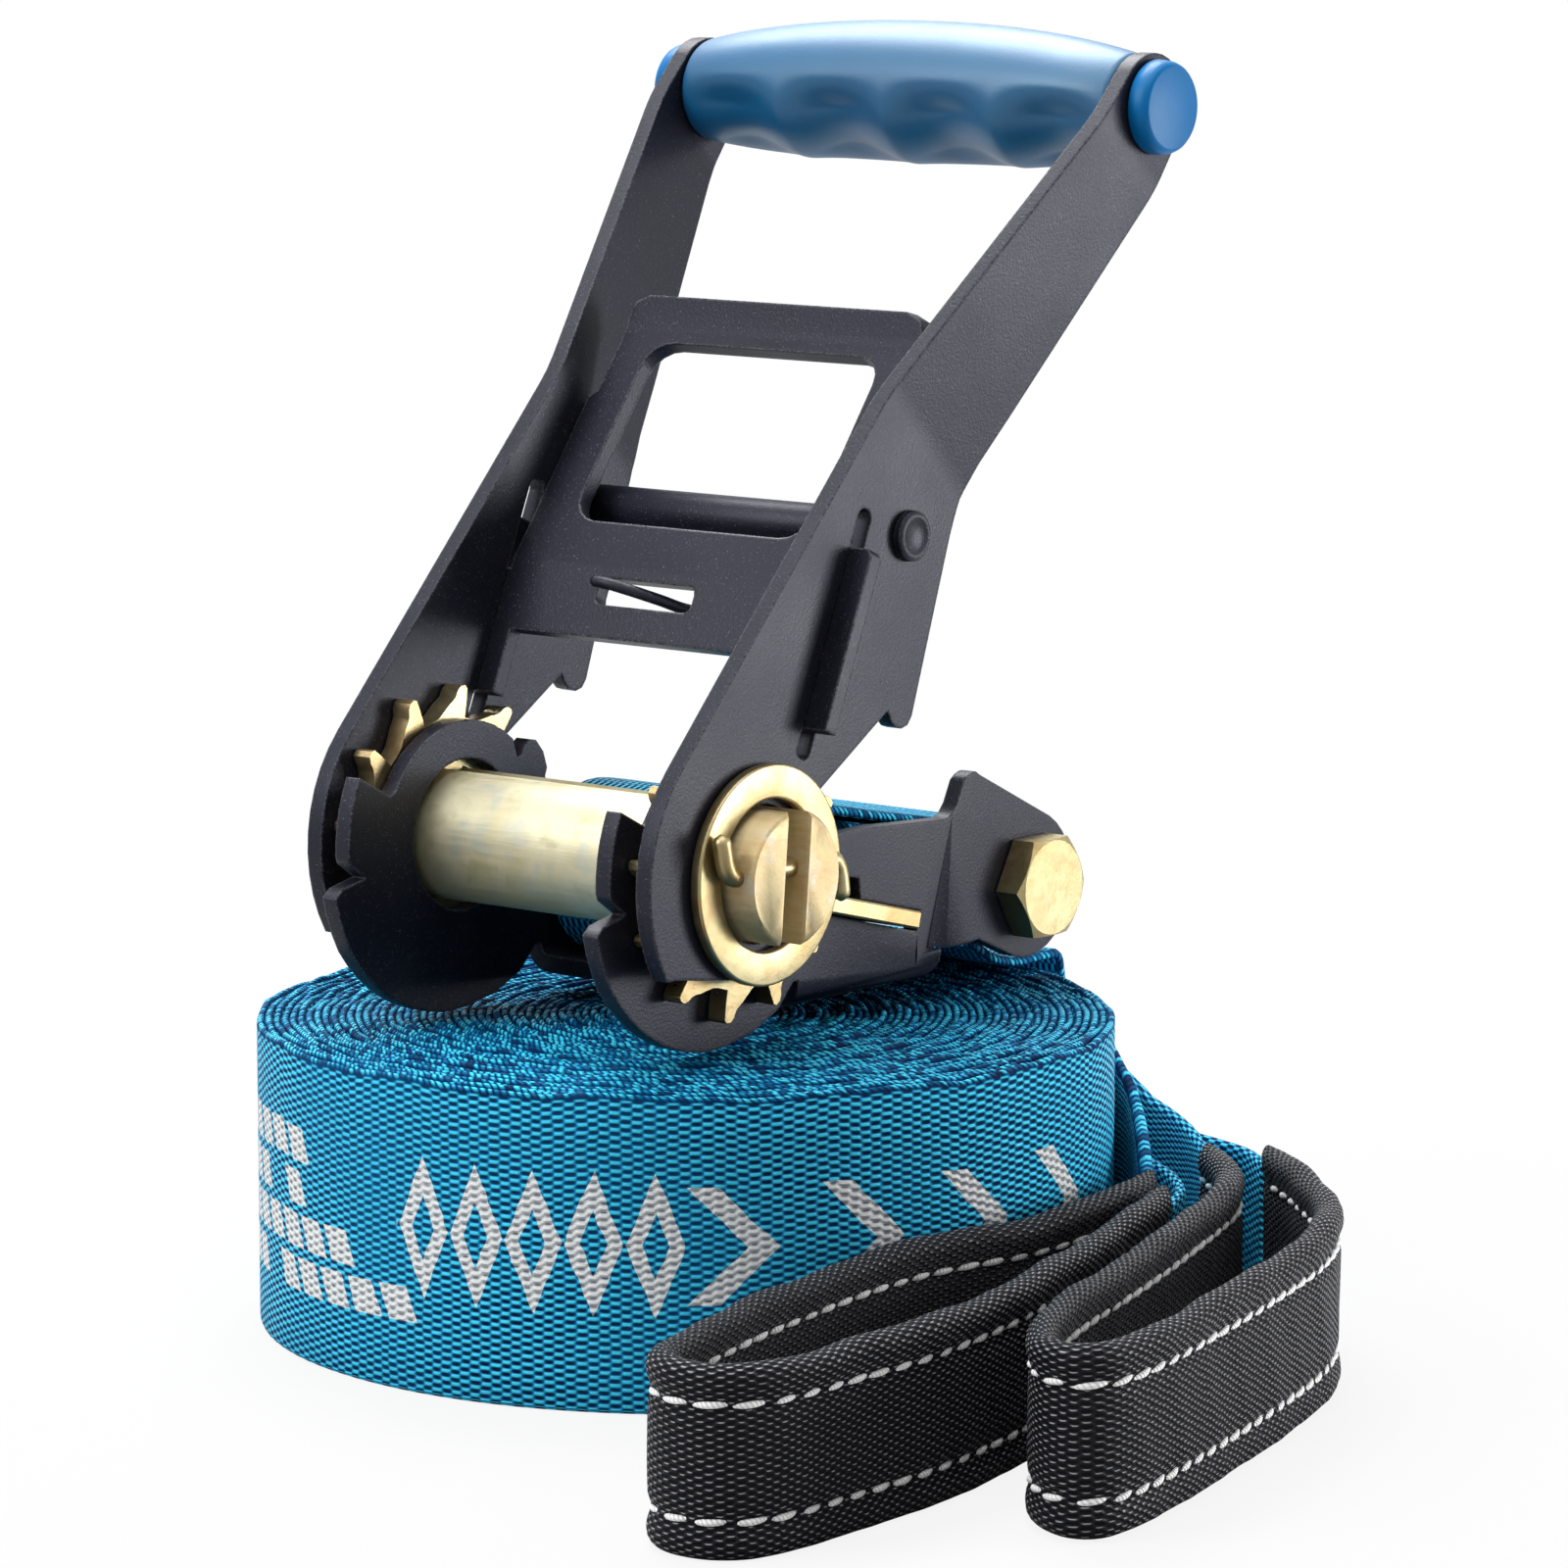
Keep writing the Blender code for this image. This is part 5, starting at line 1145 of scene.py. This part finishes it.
# Grip: a moulded sleeve of satin blue plastic on the handle's cross tube, swollen at the back, with four
# finger pockets in front; a brighter cap is pushed into each end of the tube.
GRIP_PLACE = (0.0857, 0.1154)
GRIP_HALF_LENGTH = 0.0445
GRIP_END_RADIUS = 0.0084
GRIP_BACK_RADIUS = 0.0130
GRIP_RIDGE_RADIUS = 0.0106
BACK_POWER, RIDGE_POWER = 2.2, 9
FINGERS = 4
FINGER_DEPTH = 0.0027
FINGER_POWER = 1.5
FINGER_WAY = math.radians(222)
FINGER_WINDOW = (28, 64)
LIP_LENGTH, LIP_DEPTH = 0.0010, 0.0007
TUBE_BORE = 0.0048
GRIP_STATIONS, GRIP_SIDES = 321, 128
GRIP_GIRTH = 0.066


def grip_shape(stations, sides):
    """The grip's surface on a grid of stations along it and angles from the finger side.

    The back's radius falls from the middle by the 2.2nd power of the share of the half length; the finger
    side's falls by its 9th power, so that it is even and draws in at the ends. Round the grip the two
    blend by half of one minus the cosine of the angle. The finger pockets are cut by the 1.5th power of a
    sine along the grip, so that round ridges stand between them, and fade out round it by a smooth step
    between two angles. The last millimetre is rounded over towards the bore.
    """
    share = np.sin(np.linspace(-math.pi / 2, math.pi / 2, stations))
    angle = np.linspace(0, 2 * math.pi, sides, endpoint=False)
    back = GRIP_END_RADIUS + (GRIP_BACK_RADIUS - GRIP_END_RADIUS) * (1 - np.abs(share) ** BACK_POWER)
    front = GRIP_END_RADIUS + (GRIP_RIDGE_RADIUS - GRIP_END_RADIUS) * (1 - np.abs(share) ** RIDGE_POWER)
    radius = front[:, None] + (back - front)[:, None] * (0.5 - 0.5 * np.cos(angle))
    pocket = np.abs(np.sin(math.pi * FINGERS * (share + 1) / 2)) ** FINGER_POWER
    full, none = FINGER_WINDOW
    left = np.clip((none - np.degrees(np.minimum(angle, 2 * math.pi - angle))) / (none - full), 0, 1)
    radius -= FINGER_DEPTH * pocket[:, None] * left ** 2 * (3 - 2 * left)
    lip = np.clip((1 - np.abs(share)) * GRIP_HALF_LENGTH / LIP_LENGTH, 0, 1)
    radius -= LIP_DEPTH * (1 - np.sqrt(1 - (1 - lip) ** 2))[:, None]
    x = np.broadcast_to((share * GRIP_HALF_LENGTH)[:, None], radius.shape)
    turn = FINGER_WAY + angle
    surface = np.stack([x, radius * np.cos(turn), radius * np.sin(turn)], -1)
    bore = TUBE_BORE * np.stack([0 * turn, np.cos(turn), np.sin(turn)], -1)[None]
    ends = np.array([(-GRIP_HALF_LENGTH, 0, 0), (GRIP_HALF_LENGTH, 0, 0)])[:, None]
    return np.concatenate([bore + ends[0], surface, bore + ends[1]])


GRIP_BLUE, DEEP_GRIP_BLUE = (0.000, 0.082, 0.198), (0.000, 0.066, 0.168)
CAP_BLUE, DEEP_CAP_BLUE = (0.000, 0.125, 0.340), (0.000, 0.105, 0.300)
PLASTIC_TINT = (0.80, 0.95, 1.0, 1.0)


def plastic_finish(name, color, deep, roughness, gloss):
    """Moulded plastic: one colour that is a little deeper in clouds, and a fine spark-eroded grain."""
    made, tree, shader = new_finish(name)
    place = object_place(tree)
    grain = noise(tree, place, 1900.0, 2.0)
    cloud = noise(tree, place, 55.0, 3.0)
    fill(tree, shader, {
        "Base Color": mix_colors(tree, ramp(tree, cloud, 0.3, 0.7), color, deep),
        "Roughness": calc(tree, "MULTIPLY_ADD", cloud, 0.16, roughness), "Specular IOR Level": gloss,
        "Specular Tint": PLASTIC_TINT, "Normal": bump(tree, grain, 0.22, 0.0001)})
    return made


grip_plastic = plastic_finish("blue_grip_plastic", GRIP_BLUE, DEEP_GRIP_BLUE, 0.36, 0.75)
cap_plastic = plastic_finish("bright_blue_cap_plastic", CAP_BLUE, DEEP_CAP_BLUE, 0.34, 0.20)
grip_rings = grip_shape(GRIP_STATIONS, GRIP_SIDES)
grip_rings = grip_rings + np.array((axis[0], axis[1] + GRIP_PLACE[0], axis[2] + GRIP_PLACE[1]))
grip = skin("grip_sleeve", grip_rings, np.linspace(0, 2 * GRIP_HALF_LENGTH, GRIP_STATIONS + 3),
            np.linspace(0, GRIP_GIRTH, GRIP_SIDES + 1), grip_plastic, closed=True)
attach(grip, "handle")
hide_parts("grip")

CAP_START = 0.0481
CAP_END = CAP_START + 0.0036
CAP_RADIUS = 0.0077
SPIGOT_START = CAP_START - 0.006
SPIGOT = 0.0029
CAP_MIDDLE = 0.0004
CAP_PROFILE = [
    (SPIGOT_START, CAP_MIDDLE), (SPIGOT_START, SPIGOT), (CAP_START, SPIGOT),
    (CAP_START, CAP_RADIUS - 0.0002), (CAP_START + 0.0003, CAP_RADIUS),
    (CAP_END - 0.0012, CAP_RADIUS - 0.0002), (CAP_END - 0.0005, CAP_RADIUS - 0.0005),
    (CAP_END - 0.0001, CAP_RADIUS - 0.0009), (CAP_END, CAP_RADIUS - 0.0012), (CAP_END, CAP_MIDDLE),
]
for side, node in ((1, "grip_cap_right"), (-1, "grip_cap_left")):
    piece = round_piece(node + "_plug", [(side * x, r) for x, r in CAP_PROFILE], GRIP_PLACE, cap_plastic)
    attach(piece, "handle")
    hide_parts(node)
